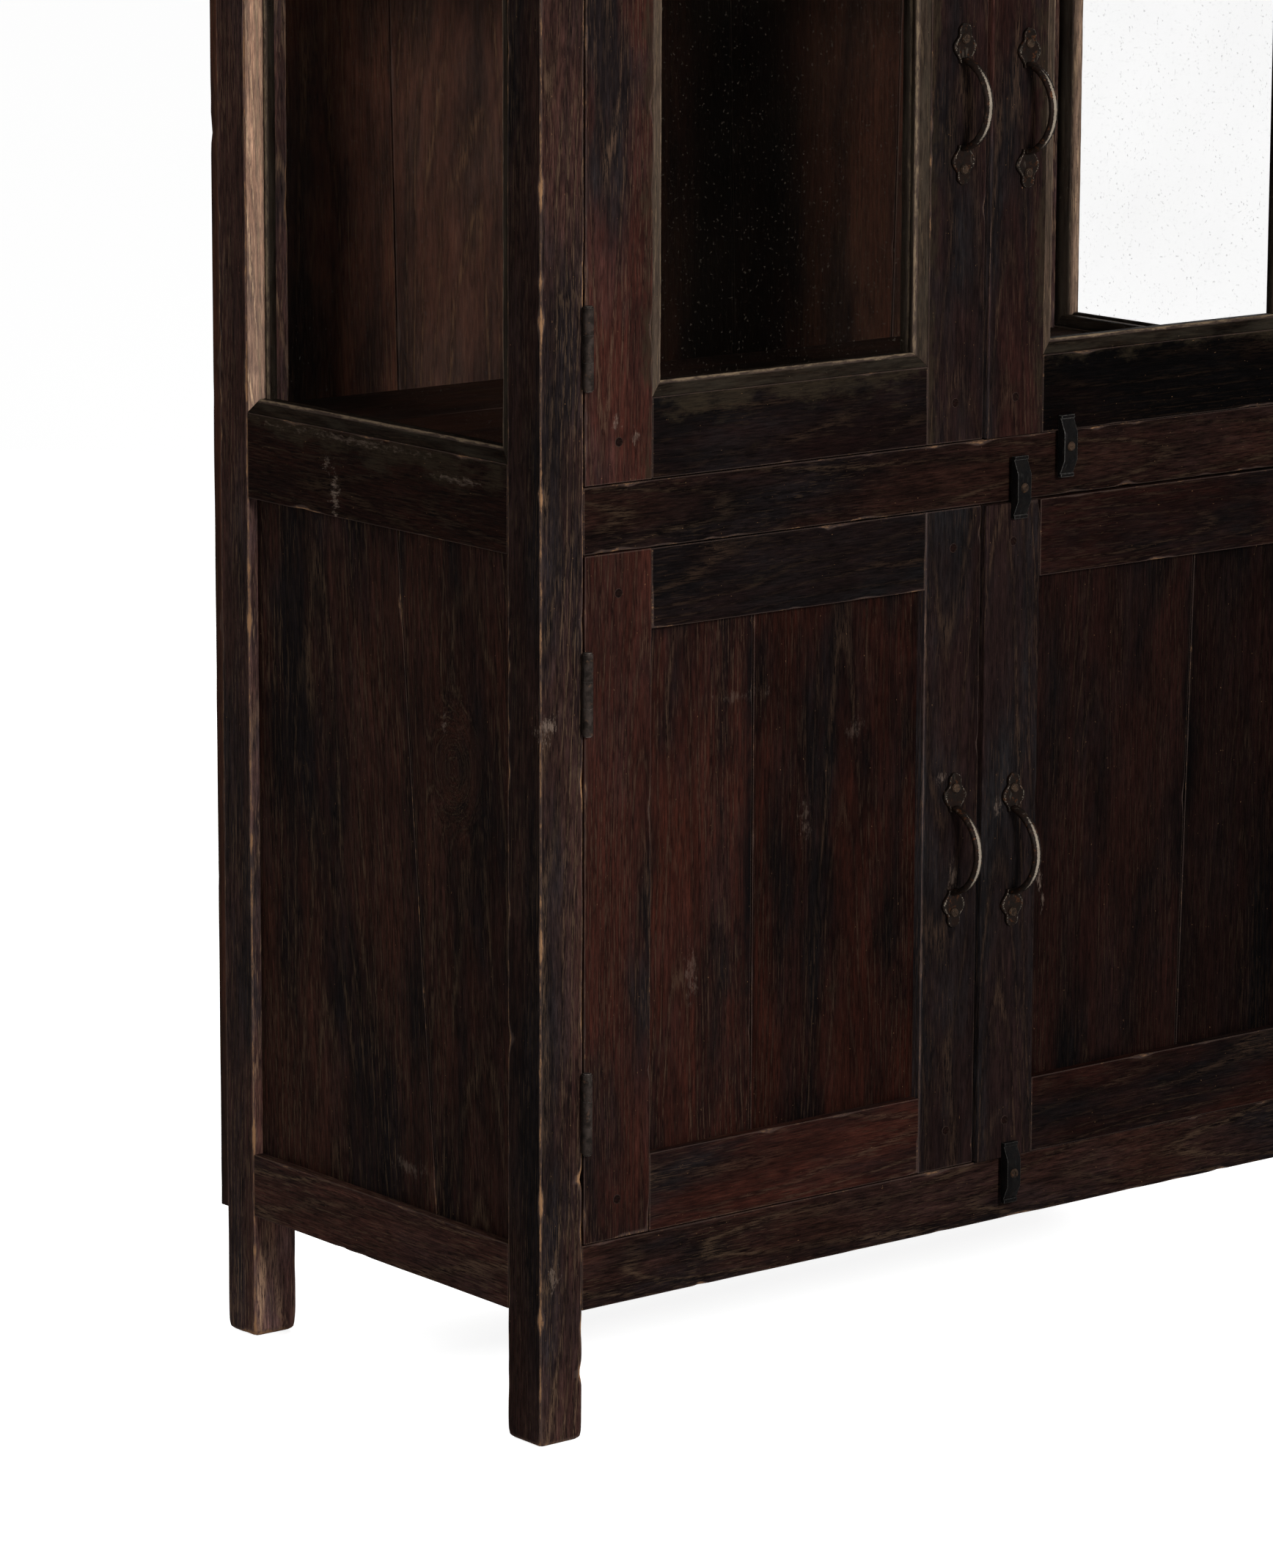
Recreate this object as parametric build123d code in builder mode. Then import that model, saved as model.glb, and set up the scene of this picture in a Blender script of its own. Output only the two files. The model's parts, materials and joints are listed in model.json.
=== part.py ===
from build123d import *

import os

# Two tier display cabinet: a glazed tier over a panelled tier in one pegged teak frame.
# The origin is on the floor, under the middle of the whole cabinet. +X is to the right along the
# front, the front faces -Y and +Z is up. Every size is in millimetres.

LEFT, RIGHT = -1, 1

# Frame
width = 1080.0  # over the posts
depth = 508.0  # front of the front posts to the back of the back posts
post_width = 50.0  # every post, along the front
front_post_depth = 50.0
back_post_depth = 46.0
leg_height = 126.0  # floor to the underside of the bottom rails
rail_height = 63.0
front_rail_thickness = 40.0
rail_thickness = 28.0  # side and back rails
side_middle_rail_height = 84.0
lower_opening = 657.0  # clear height between the bottom and middle rails
upper_opening = 800.0  # clear height between the middle and top rails
tenon_length = 30.0
tenon_thickness = 12.0
tenon_shoulder = 8.0  # from a rail's edge to its tenon
arris = 1.5  # rounding of the frame's long edges
foot_wear = 1.0  # chamfer under each foot

# Panels and boards
panel_recess = 11.0  # from the face of the frame to the face of a panel
panel_thickness = 12.0
groove_depth = 8.0
groove_room = 1.0  # left at the bottom of a groove for the panel to move
board_gap = 0.6  # open joint between neighbouring boards
side_joint_top = 185.0  # from the front post to the side panel's joint, at the top
side_joint_bottom = 124.0
back_board_thickness = 12.0
back_board_count = 5
back_board_lean = 40.0  # how far a joint between back boards leans over its height
floor_thickness = 19.0
floor_board_count = 3
floor_seat = 11.0  # how far a floor lies on the front rail
floor_end_room = 1.0
shelf_thickness = 19.0
shelf_board_count = 2
shelf_setback = 60.0  # from the front of the frame to a shelf
shelf_end_room = 0.5
lower_shelf_height = 300.0  # from the lower floor to the shelf's underside
upper_shelf_height = 452.0  # from the upper floor to the shelf's underside
cleat_size = 20.0
cleat_room = 4.0  # behind the doors
stop_thickness = 11.0
stop_height = 18.0
top_board_thickness = 28.0
top_board_count = 3
top_overhang = 25.0
top_edge_round = 4.0

# Doors
door_gap = 2.0  # beside each door
door_end_gap = 1.0  # above and below each door
door_thickness = 28.0
right_door_proud = 5.0  # the right doors stand this far in front of the left ones
hinge_stile_width = 79.0
meeting_stile_width = 71.0
door_rail_height = 76.0
door_tenon_length = 50.0
door_tenon_thickness = 9.0
door_arris = 1.2
peg_radius = 4.5
peg_room = 0.1
door_joint_bottom = 132.0  # from the hinge stile to the joint between a panel's boards
left_door_joint_top = 132.0
right_door_joint_top = 120.0

# Glazing
bead_width = 14.0
bead_depth = 12.0
bead_slope = 5.0  # how far the face of a bead falls back towards the glass
inner_bead_width = 12.0
glass_thickness = 3.0
glass_room = 1.0
mitre_gap = 0.3

# Handles
handle_reach = 40.0  # from the door's face to the front of the arch
handle_width = 13.0
handle_thickness = 6.0
handle_edge_round = 2.4
handle_arch_half = 42.0  # from the middle of the handle to the foot of the arch
plate_thickness = 3.5
plate_lobe_half_width = 14.5
plate_lobe_height = 12.0  # from the foot of the arch to the widest part of the plate
plate_cusp_half_width = 8.0
plate_cusp_height = 22.0
plate_tip_half_width = 7.0
plate_shoulder_height = 30.0
plate_length = 35.0
plate_tip_share = 0.7  # of the tip's half width, at the middle of the tip's arc
plate_tip_drop = 1.5  # from the end of the plate back to the middle of that arc
handle_screw_height = 20.0
left_handle_inset = 31.0  # from the meeting edge of the door to the handle
upper_right_handle_inset = 45.0
lower_right_handle_inset = 39.0
upper_handle_height = 325.0  # from the rail under the door to the middle of a left handle
lower_handle_height = 320.0
right_handle_drop = 8.0

# Hinges
hinge_height = 76.0
hinge_from_end = 90.0  # from the end of the door to the hinge
leaf_thickness = 2.0
leaf_depth = 22.0  # how far a leaf is let into the edge of the door
knuckle_radius = 5.0
knuckle_clearance = 0.5  # between a knuckle and the door's face
knuckle_end_gap = 0.3
pin_radius = 2.5
pin_fit = 0.05
pin_head_radius = 4.0
pin_head_height = 1.5
leaf_screw_pitch = 25.0
leaf_screw_inset = 12.0  # from the door's face to the row of screws

# Screws
screw_radius = 2.0
screw_fit = 0.05
screw_head_radius = 4.8
screw_head_height = 1.8
screw_head_taper = 35.0
screw_slot_width = 1.0
screw_slot_depth = 0.9
screw_slot_length = 3.0  # in head radii, so that it runs out at both sides
screw_first_angle = 35
screw_angle_step = 55
countersink_taper = 45.0
leaf_screw_head_radius = 3.8
leaf_screw_length = 16.0
handle_screw_length = 16.0  # into the wood
button_screw_length = 20.0

# Turn buttons
button_length = 61.0
button_width = 17.0
button_height = 10.0  # from its flat back to the raised middle
button_end_thickness = 4.0
button_flat_length = 27.0  # of the raised middle
button_lip_height = 1.5
button_lip_length = 3.5
button_boss_radius = 6.5
button_clearance = 0.3  # in front of the doors and of the rail
button_head_gap = 0.2
button_inset = 14.0  # from the edge of the rail next to the door to the screw
upper_button_offset = 101.0  # from the middle of the cabinet
lower_button_offset = 41.0

# Places worked out from the sizes above
front = -(depth + back_board_thickness - handle_reach - right_door_proud) / 2
back = front + depth
half = width / 2
front_post_y = (front, front + front_post_depth)
back_post_y = (back - back_post_depth, back)
front_rail_y = (front, front + front_rail_thickness)
back_rail_y = (back - rail_thickness, back)
between_posts_y = (front_post_y[1], back_post_y[0])
bottom_rail_z = (leg_height, leg_height + rail_height)
middle_rail_z = (bottom_rail_z[1] + lower_opening, bottom_rail_z[1] + lower_opening + rail_height)
top_rail_z = (middle_rail_z[1] + upper_opening, middle_rail_z[1] + upper_opening + rail_height)
side_middle_rail_z = (middle_rail_z[0], middle_rail_z[0] + side_middle_rail_height)
rail_levels = (bottom_rail_z, middle_rail_z, top_rail_z)
side_rail_levels = (bottom_rail_z, side_middle_rail_z, top_rail_z)
lower_door_z = (bottom_rail_z[1] + door_end_gap, middle_rail_z[0] - door_end_gap)
upper_door_z = (middle_rail_z[1] + door_end_gap, top_rail_z[0] - door_end_gap)
lower_floor_z = (bottom_rail_z[1], bottom_rail_z[1] + floor_thickness)
upper_floor_z = (middle_rail_z[1], middle_rail_z[1] + floor_thickness)
floor_y = (front_rail_y[1] - floor_seat, back)
shelf_y = (front + shelf_setback, back)
cleat_y = (front + door_thickness + cleat_room, back)
lower_shelf_base = lower_floor_z[1] + lower_shelf_height
upper_shelf_base = upper_floor_z[1] + upper_shelf_height
door_edge = post_width + door_gap
hinge_stile_end = door_edge + hinge_stile_width
meeting_edge = half - door_gap / 2
meeting_stile_end = meeting_edge - meeting_stile_width
hinge_axis_inset = post_width + door_gap / 2
leaf_pilot_length = leaf_screw_length - leaf_thickness
pilot_radius = screw_radius + screw_fit
button_seat = right_door_proud + button_clearance
button_places = {
    "top_rail_turn_button": (upper_button_offset, top_rail_z[0] + button_inset),
    "middle_rail_upper_turn_button": (upper_button_offset, middle_rail_z[1] - button_inset),
    "middle_rail_lower_turn_button": (lower_button_offset, middle_rail_z[0] + button_inset),
    "bottom_rail_turn_button": (lower_button_offset, bottom_rail_z[1] - button_inset),
}

os.makedirs("parts", exist_ok=True)


# Helpers


def across(side, near, far):
    """The x range between two distances from the outer face of one side."""
    ends = (side * (half - near), side * (half - far))
    return (min(ends), max(ends))


def shrink(span, amount):
    """A range made shorter by an amount at each end."""
    return (span[0] + amount, span[1] - amount)


def middle(span):
    """The middle of a range."""
    return (span[0] + span[1]) / 2


def length(span):
    """The length of a range."""
    return span[1] - span[0]


def block(x, y, z, mode=Mode.ADD):
    """A box between the low and high values on each axis, in the part that is being built."""
    with Locations((middle(x), middle(y), middle(z))):
        Box(length(x), length(y), length(z), mode=mode)


def slab(plane, corners, thickness, mode=Mode.ADD):
    """A flat board with the given corners, going back from a plane."""
    with BuildSketch(plane) as outline:
        with BuildLine():
            Polyline(*corners, close=True)
        make_face()
    extrude(outline.sketch, amount=-thickness, mode=mode)


def rod(plane, radius, reach, mode=Mode.ADD):
    """A round bar that goes back from a plane."""
    with BuildSketch(plane) as circle:
        Circle(radius)
    extrude(circle.sketch, amount=-reach, mode=mode)


def front_plane(x, y, z):
    """A plane that faces the front, with its own y upwards."""
    return Plane(origin=(x, y, z), x_dir=(1, 0, 0), z_dir=(0, -1, 0))


def side_plane(x, facing, y, z):
    """A plane that faces left (-1) or right (1), with its own y upwards."""
    return Plane(origin=(x, y, z), x_dir=(0, facing, 0), z_dir=(facing, 0, 0))


def save(builder, name):
    """Label a finished piece and write it."""
    builder.part.label = name
    export_step(builder.part, f"parts/{name}.step")


def door_face(side):
    """The y of the front face of the doors on one side."""
    return front - right_door_proud if side == RIGHT else front


def hinge_places(door_z):
    """The height range of each hinge of a door."""
    low = door_z[0] + hinge_from_end
    high = door_z[1] - hinge_from_end
    return [(low, low + hinge_height), (high - hinge_height, high)]


def leaf_screws(side, on_door, hinge_z):
    """The planes of a leaf's open face at its three screws."""
    inset = door_edge if on_door else post_width
    facing = side if on_door else -side
    y = door_face(side) + leaf_screw_inset
    heights = [middle(hinge_z) + step * leaf_screw_pitch for step in (-1, 0, 1)]
    return [side_plane(side * (half - inset), facing, y, z) for z in heights]


def cut_gains(side, on_door, hinge_z):
    """The shallow housing for a hinge leaf, with its pilot holes."""
    edge = (door_edge, door_edge + leaf_thickness) if on_door else (post_width - leaf_thickness, post_width)
    gain_y = (front - right_door_proud, door_face(side) + leaf_depth)
    block(across(side, *edge), gain_y, hinge_z, Mode.SUBTRACT)
    for plane in leaf_screws(side, on_door, hinge_z):
        rod(plane, pilot_radius, leaf_screw_length + screw_fit, Mode.SUBTRACT)


# Posts


def post(side, y, is_front):
    """A post with its mortises, the groove for the side panel and the hinge gains."""
    inner_y = y[1] if is_front else y[0]
    inwards = -1 if is_front else 1
    rail_y = front_rail_y if is_front else back_rail_y
    with BuildPart() as piece:
        block(across(side, 0, post_width), y, (0, top_rail_z[1]))
        fillet(piece.edges().filter_by(Axis.Z), arris)
        chamfer(piece.faces().sort_by(Axis.Z)[0].edges(), foot_wear)
        tenon_y = shrink(rail_y, (length(rail_y) - tenon_thickness) / 2)
        for level in rail_levels:
            tenon_x = across(side, post_width - tenon_length, post_width)
            block(tenon_x, tenon_y, shrink(level, tenon_shoulder), Mode.SUBTRACT)
        tenon_x = across(side, *shrink((0, rail_thickness), (rail_thickness - tenon_thickness) / 2))
        pocket = sorted((inner_y, inner_y + inwards * tenon_length))
        for level in side_rail_levels:
            block(tenon_x, pocket, shrink(level, tenon_shoulder), Mode.SUBTRACT)
        panel_x = across(side, panel_recess, panel_recess + panel_thickness)
        groove = sorted((inner_y, inner_y + inwards * groove_depth))
        groove_z = (bottom_rail_z[1] - groove_depth, middle_rail_z[0] + groove_depth)
        block(panel_x, groove, groove_z, Mode.SUBTRACT)
        if is_front:
            for hinge_z in hinge_places(lower_door_z) + hinge_places(upper_door_z):
                cut_gains(side, False, hinge_z)
    return piece


for side, word in ((LEFT, "left"), (RIGHT, "right")):
    save(post(side, front_post_y, True), f"front_{word}_post")
    save(post(side, back_post_y, False), f"back_{word}_post")


# Rails


def long_rail(y, level):
    """A rail along the front or the back, with a tenon at each end."""
    body_x = (-half + post_width, half - post_width)
    with Locations((0, middle(y), middle(level))):
        Box(length(body_x), length(y), length(level))
    tenon_y = shrink(y, (length(y) - tenon_thickness) / 2)
    block(shrink(body_x, -tenon_length), tenon_y, shrink(level, tenon_shoulder))


def side_rail(side, level):
    """A rail between the posts of one side, with a tenon at each end."""
    block(across(side, 0, rail_thickness), between_posts_y, level)
    tenon_x = across(side, *shrink((0, rail_thickness), (rail_thickness - tenon_thickness) / 2))
    block(tenon_x, shrink(between_posts_y, -tenon_length), shrink(level, tenon_shoulder))


for name, level in zip(("bottom", "middle", "top"), rail_levels):
    with BuildPart() as front_rail:
        long_rail(front_rail_y, level)
        long_edges = front_rail.edges().filter_by(Axis.X).group_by(Axis.Y)[0]
        fillet(long_edges, arris)
        for offset, z in button_places.values():
            if level[0] < z < level[1]:
                rod(front_plane(offset, front, z), pilot_radius, button_screw_length, Mode.SUBTRACT)
    save(front_rail, f"front_{name}_rail")

for side, word in ((LEFT, "left"), (RIGHT, "right")):
    with BuildPart() as side_rails:
        for level in side_rail_levels:
            side_rail(side, level)
        outer = side_rails.edges().filter_by(Axis.Y).group_by(Axis.X)[0 if side == LEFT else -1]
        fillet(outer, arris)
        panel_x = across(side, panel_recess, panel_recess + panel_thickness)
        groove_z = (bottom_rail_z[1] - groove_depth, middle_rail_z[0] + groove_depth)
        block(panel_x, between_posts_y, groove_z, Mode.SUBTRACT)
    save(side_rails, f"{word}_side_rails")

with BuildPart() as back_rails:
    for level in rail_levels:
        long_rail(back_rail_y, level)
save(back_rails, "back_rails")


# Panels, boards, floors and shelves

for side, word in ((LEFT, "left"), (RIGHT, "right")):
    panel_y = shrink(between_posts_y, groove_room - groove_depth)
    panel_z = (
        bottom_rail_z[1] - groove_depth + groove_room,
        middle_rail_z[0] + groove_depth - groove_room,
    )
    with BuildPart() as side_panel:
        block(across(side, panel_recess, panel_recess + panel_thickness), panel_y, panel_z)
        top_y = front_post_y[1] + side_joint_top
        bottom_y = front_post_y[1] + side_joint_bottom
        joint = (
            (side * (bottom_y - board_gap / 2), panel_z[0]),
            (side * (bottom_y + board_gap / 2), panel_z[0]),
            (side * (top_y + board_gap / 2), panel_z[1]),
            (side * (top_y - board_gap / 2), panel_z[1]),
        )
        slab(side_plane(side * half, side, 0, 0), joint, panel_recess + panel_thickness, Mode.SUBTRACT)
    save(side_panel, f"{word}_side_panel")

with BuildPart() as back_boards:
    block((-half, half), (back, back + back_board_thickness), (leg_height, top_rail_z[1]))
    for index in range(1, back_board_count):
        x = -half + index * width / back_board_count
        lean = back_board_lean / 2 * (-1) ** index
        joint = (
            (x - lean - board_gap / 2, leg_height),
            (x - lean + board_gap / 2, leg_height),
            (x + lean + board_gap / 2, top_rail_z[1]),
            (x + lean - board_gap / 2, top_rail_z[1]),
        )
        slab(front_plane(0, back, 0), joint, back_board_thickness, Mode.SUBTRACT)
save(back_boards, "back_boards")


def cut_board_joints(x, y, z, count):
    """Open joints that divide a surface into boards along the front."""
    for index in range(1, count):
        joint_y = y[0] + index * length(y) / count
        block(x, (joint_y - board_gap / 2, joint_y + board_gap / 2), z, Mode.SUBTRACT)


with BuildPart() as floor_boards:
    lower_inset = panel_recess + panel_thickness + floor_end_room
    upper_inset = rail_thickness + floor_end_room
    for inset, level in ((lower_inset, lower_floor_z), (upper_inset, upper_floor_z)):
        floor_x = (-half + inset, half - inset)
        block(floor_x, floor_y, level)
        for side in (LEFT, RIGHT):
            for y in (front_post_y, back_post_y):
                block(across(side, 0, post_width), y, level, Mode.SUBTRACT)
        cut_board_joints(floor_x, floor_y, level, floor_board_count)
save(floor_boards, "floor_boards")

with BuildPart() as shelf_boards:
    for base in (lower_shelf_base, upper_shelf_base):
        shelf_x = shrink((-half, half), post_width + shelf_end_room)
        shelf_z = (base, base + shelf_thickness)
        block(shelf_x, shelf_y, shelf_z)
        cut_board_joints(shelf_x, shelf_y, shelf_z, shelf_board_count)
save(shelf_boards, "shelf_boards")

with BuildPart() as cleats_and_stops:
    for side in (LEFT, RIGHT):
        floor_cleat_x = across(side, rail_thickness, rail_thickness + cleat_size)
        floor_cleat_z = (upper_floor_z[0] - cleat_size, upper_floor_z[0])
        block(floor_cleat_x, between_posts_y, floor_cleat_z)
        for base in (lower_shelf_base, upper_shelf_base):
            block(across(side, post_width, post_width + cleat_size), cleat_y, (base - cleat_size, base))
    for rail_z in (middle_rail_z, top_rail_z):
        stop_x = (-half + post_width, half - post_width)
        stop_y = (front_rail_y[1] - stop_thickness, front_rail_y[1])
        block(stop_x, stop_y, (rail_z[0] - stop_height, rail_z[0]))
save(cleats_and_stops, "cleats_and_stops")

with BuildPart() as top_boards:
    top_x = (-half - top_overhang, half + top_overhang)
    top_y = (front - top_overhang, back + back_board_thickness)
    top_z = (top_rail_z[1], top_rail_z[1] + top_board_thickness)
    block(top_x, top_y, top_z)
    front_edges = top_boards.edges().filter_by(Axis.X).group_by(Axis.Y)[0]
    end_edges = top_boards.edges().filter_by(Axis.Y)
    fillet(front_edges + end_edges, top_edge_round)
    cut_board_joints(top_x, top_y, top_z, top_board_count)
save(top_boards, "top_boards")


# Glazing


def bead_ring(plane, size, bead, reach, slope=0.0):
    """Four mitred beads round a pane, going back from a plane, with a face that can fall inwards."""
    inside = (size[0] - 2 * bead, size[1] - 2 * bead)
    with BuildSketch(plane) as ring:
        Rectangle(*size)
        Rectangle(*inside, mode=Mode.SUBTRACT)
    extrude(ring.sketch, amount=-reach)
    if slope:
        with BuildSketch(plane) as outer_edge:
            Rectangle(*size)
        with BuildSketch(plane.offset(-slope)) as inner_edge:
            Rectangle(*inside)
        loft([outer_edge.sketch, inner_edge.sketch], mode=Mode.SUBTRACT)
    with BuildSketch(plane) as mitres:
        for u in (-1, 1):
            for v in (-1, 1):
                with Locations((u * (size[0] - bead) / 2, v * (size[1] - bead) / 2)):
                    Rectangle(mitre_gap, 2 * bead, rotation=-45 * u * v)
    extrude(mitres.sketch, amount=-reach, mode=Mode.SUBTRACT)


def glazing(plane, size):
    """The outer and inner beads of one pane."""
    bead_ring(plane, size, bead_width, bead_depth, bead_slope)
    bead_ring(plane.offset(-bead_depth - glass_thickness), size, inner_bead_width, bead_depth)


def pane(plane, size):
    """A glass pane that fills its opening behind the outer beads."""
    with BuildSketch(plane.offset(-bead_depth)) as sheet:
        Rectangle(size[0] - 2 * glass_room, size[1] - 2 * glass_room)
    extrude(sheet.sketch, amount=-glass_thickness)


side_glass_z = (side_middle_rail_z[1], top_rail_z[0])
side_glass_size = (length(between_posts_y), length(side_glass_z))


def side_opening(side):
    """The plane of the glazed opening in one side."""
    return side_plane(side * half, side, middle(between_posts_y), middle(side_glass_z))


with BuildPart() as side_glass_panes:
    pane(side_opening(LEFT), side_glass_size)
    pane(side_opening(RIGHT), side_glass_size)
save(side_glass_panes, "side_glass_panes")

with BuildPart() as side_glazing_beads:
    glazing(side_opening(LEFT), side_glass_size)
    glazing(side_opening(RIGHT), side_glass_size)
save(side_glazing_beads, "side_glazing_beads")


# Screws


def screw_slot(plane, head_radius, angle):
    """The slot across a screw's head."""
    with BuildSketch(plane) as slot:
        Rectangle(screw_slot_width, screw_slot_length * head_radius, rotation=angle)
    extrude(slot.sketch, amount=-screw_slot_depth, mode=Mode.SUBTRACT)


def round_screw(plane, reach, angle):
    """A slotted screw whose head stands on a plane and whose shank goes back from it."""
    rod(plane, screw_radius, reach)
    with BuildSketch(plane) as head:
        Circle(screw_head_radius)
    extrude(head.sketch, amount=screw_head_height, taper=screw_head_taper)
    screw_slot(plane.offset(screw_head_height), screw_head_radius, angle)


def flat_screw(plane, angle):
    """A slotted screw whose head lies flush with a hinge leaf."""
    with BuildSketch(plane) as head:
        Circle(leaf_screw_head_radius)
    extrude(head.sketch, amount=-(leaf_screw_head_radius - screw_radius), taper=countersink_taper)
    rod(plane, screw_radius, leaf_screw_length)
    screw_slot(plane, leaf_screw_head_radius, angle)


def screw_angle(index):
    """A different slot direction for each screw in a row."""
    return screw_first_angle + screw_angle_step * index


# Hinges


def hinge_axis(side):
    """The x and y of the pins of one side."""
    y = door_face(side) - knuckle_radius - knuckle_clearance
    return side * (half - hinge_axis_inset), y


def upright(x, y, z):
    """A plane that faces down, so that what goes back from it rises."""
    return Plane(origin=(x, y, z), x_dir=(1, 0, 0), z_dir=(0, 0, -1))


def hinge_leaf(side, on_door, hinge_z):
    """A leaf: the post's has the two outer knuckles, the door's has the middle one."""
    x, y = hinge_axis(side)
    third = hinge_height / 3
    if on_door:
        leaf = (door_edge, door_edge + leaf_thickness)
        own = [shrink(hinge_z, third + knuckle_end_gap / 2)]
        others = [
            (hinge_z[0], hinge_z[0] + third + knuckle_end_gap / 2),
            (hinge_z[1] - third - knuckle_end_gap / 2, hinge_z[1]),
        ]
    else:
        leaf = (post_width - leaf_thickness, post_width)
        own = [
            (hinge_z[0], hinge_z[0] + third - knuckle_end_gap / 2),
            (hinge_z[1] - third + knuckle_end_gap / 2, hinge_z[1]),
        ]
        others = [shrink(hinge_z, third - knuckle_end_gap / 2)]
    block(across(side, *leaf), (y, door_face(side) + leaf_depth), hinge_z)
    for low, high in others:
        rod(upright(x, y, low), knuckle_radius + knuckle_clearance, high - low, Mode.SUBTRACT)
    for low, high in own:
        rod(upright(x, y, low), knuckle_radius, high - low)
    rod(upright(x, y, hinge_z[0]), pin_radius + pin_fit, hinge_height, Mode.SUBTRACT)
    for plane in leaf_screws(side, on_door, hinge_z):
        head_radius = leaf_screw_head_radius + screw_fit
        with BuildSketch(plane) as head:
            Circle(head_radius)
        cone = head_radius - pilot_radius
        extrude(head.sketch, amount=-cone, taper=countersink_taper, mode=Mode.SUBTRACT)
        rod(plane, pilot_radius, leaf_thickness, Mode.SUBTRACT)


all_hinges = [
    (side, hinge_z)
    for side in (LEFT, RIGHT)
    for hinge_z in hinge_places(lower_door_z) + hinge_places(upper_door_z)
]

with BuildPart() as post_hinge_leaves:
    for side, hinge_z in all_hinges:
        hinge_leaf(side, False, hinge_z)
save(post_hinge_leaves, "post_hinge_leaves")

with BuildPart() as hinge_pins:
    for side, hinge_z in all_hinges:
        x, y = hinge_axis(side)
        rod(upright(x, y, hinge_z[0]), pin_radius, hinge_height)
        rod(upright(x, y, hinge_z[0] - pin_head_height), pin_head_radius, pin_head_height)
        rod(upright(x, y, hinge_z[1]), pin_head_radius, pin_head_height)
save(hinge_pins, "hinge_pins")


# Turn buttons

button_face = front - button_seat - button_height

for name, (offset, z) in button_places.items():
    end, flat = button_length / 2, button_flat_length / 2
    lip_top = button_end_thickness + button_lip_height
    edge = (
        (0, end),
        (lip_top, end),
        (lip_top, end - button_lip_length),
        (button_end_thickness, end - button_lip_length),
        (button_height, flat),
    )
    profile = edge + tuple((u, -v) for u, v in reversed(edge))
    with BuildPart() as turn_button:
        start = Plane(
            origin=(offset - button_width / 2, front - button_seat, z),
            x_dir=(0, -1, 0),
            z_dir=(-1, 0, 0),
        )
        slab(start, profile, button_width)
        rod(front_plane(offset, front - button_seat, z), button_boss_radius, right_door_proud)
        hole = button_height + button_seat
        rod(front_plane(offset, button_face, z), screw_radius + pin_fit, hole, Mode.SUBTRACT)
    save(turn_button, name)

with BuildPart() as case_screws:
    for index, (offset, z) in enumerate(button_places.values()):
        plane = front_plane(offset, button_face - button_head_gap, z)
        reach = button_head_gap + button_height + button_seat + button_screw_length
        round_screw(plane, reach, screw_angle(index))
    for side, hinge_z in all_hinges:
        for index, plane in enumerate(leaf_screws(side, False, hinge_z)):
            flat_screw(plane, screw_angle(index))
save(case_screws, "case_screws")


# Doors


def handle_place(side, door_z):
    """The x and z of the middle of a handle."""
    is_upper = door_z == upper_door_z
    z = door_z[0] - door_end_gap + (upper_handle_height if is_upper else lower_handle_height)
    if side == LEFT:
        return -door_gap / 2 - left_handle_inset, z
    inset = upper_right_handle_inset if is_upper else lower_right_handle_inset
    return door_gap / 2 + inset, z - right_handle_drop


def handle_screws(side, door_z):
    """The places of a handle's two screws."""
    x, z = handle_place(side, door_z)
    reach = handle_arch_half + handle_screw_height
    return [(x, z - reach), (x, z + reach)]


def handle(side, door_z):
    """A pull handle: an arch between two plates with lobes and a rounded tip."""
    x, z = handle_place(side, door_z)
    face = door_face(side)
    foot = handle_arch_half
    neck = foot - handle_thickness / 2
    cusp = (plate_cusp_half_width, foot + plate_cusp_height)
    shoulder = (plate_tip_half_width, foot + plate_shoulder_height)
    tip = foot + plate_length
    with BuildSketch(front_plane(x, face, z)) as plates:
        with BuildLine():
            Line((0, neck), (handle_width / 2, neck))
            ThreePointArc(
                (handle_width / 2, neck),
                (plate_lobe_half_width, foot + plate_lobe_height),
                cusp,
            )
            Line(cusp, shoulder)
            tip_middle = (plate_tip_share * plate_tip_half_width, tip - plate_tip_drop)
            ThreePointArc(shoulder, tip_middle, (0, tip))
            mirror(about=Plane.YZ)
        make_face()
        mirror(about=Plane.XZ)
    extrude(plates.sketch, amount=plate_thickness)
    start = Plane(origin=(x, face, z), x_dir=(0, -1, 0), z_dir=(-1, 0, 0))
    rise = handle_reach - handle_thickness / 2
    root = plate_thickness / 2
    with BuildLine(start) as arch:
        ThreePointArc((root, -foot), (rise, 0), (root, foot))
    with BuildSketch(Plane(origin=arch.line @ 0, x_dir=(1, 0, 0), z_dir=arch.line % 0)) as section:
        RectangleRounded(handle_width, handle_thickness, handle_edge_round)
    sweep(section.sketch, path=arch.line)
    for screw_x, screw_z in handle_screws(side, door_z):
        hole_plane = front_plane(screw_x, face - plate_thickness, screw_z)
        rod(hole_plane, pilot_radius, plate_thickness, Mode.SUBTRACT)


def door_rail_levels(door_z):
    """The height ranges of a door's bottom and top rails."""
    return [(door_z[0], door_z[0] + door_rail_height), (door_z[1] - door_rail_height, door_z[1])]


def peg_places(side, stile, door_z):
    """The front planes of the two pegs of a stile."""
    x = middle(across(side, *stile))
    return [front_plane(x, door_face(side), middle(level)) for level in door_rail_levels(door_z)]


def panel_groove_z(door_z):
    """The height range of the groove for a door's panel."""
    low, high = door_rail_levels(door_z)
    return (low[1] - groove_depth, high[0] + groove_depth)


def door_y(side):
    """The depth range of the doors on one side."""
    return (door_face(side), door_face(side) + door_thickness)


def door_tenon_y(side):
    """The depth range of the tenons of a door's rails."""
    return shrink(door_y(side), (door_thickness - door_tenon_thickness) / 2)


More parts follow.
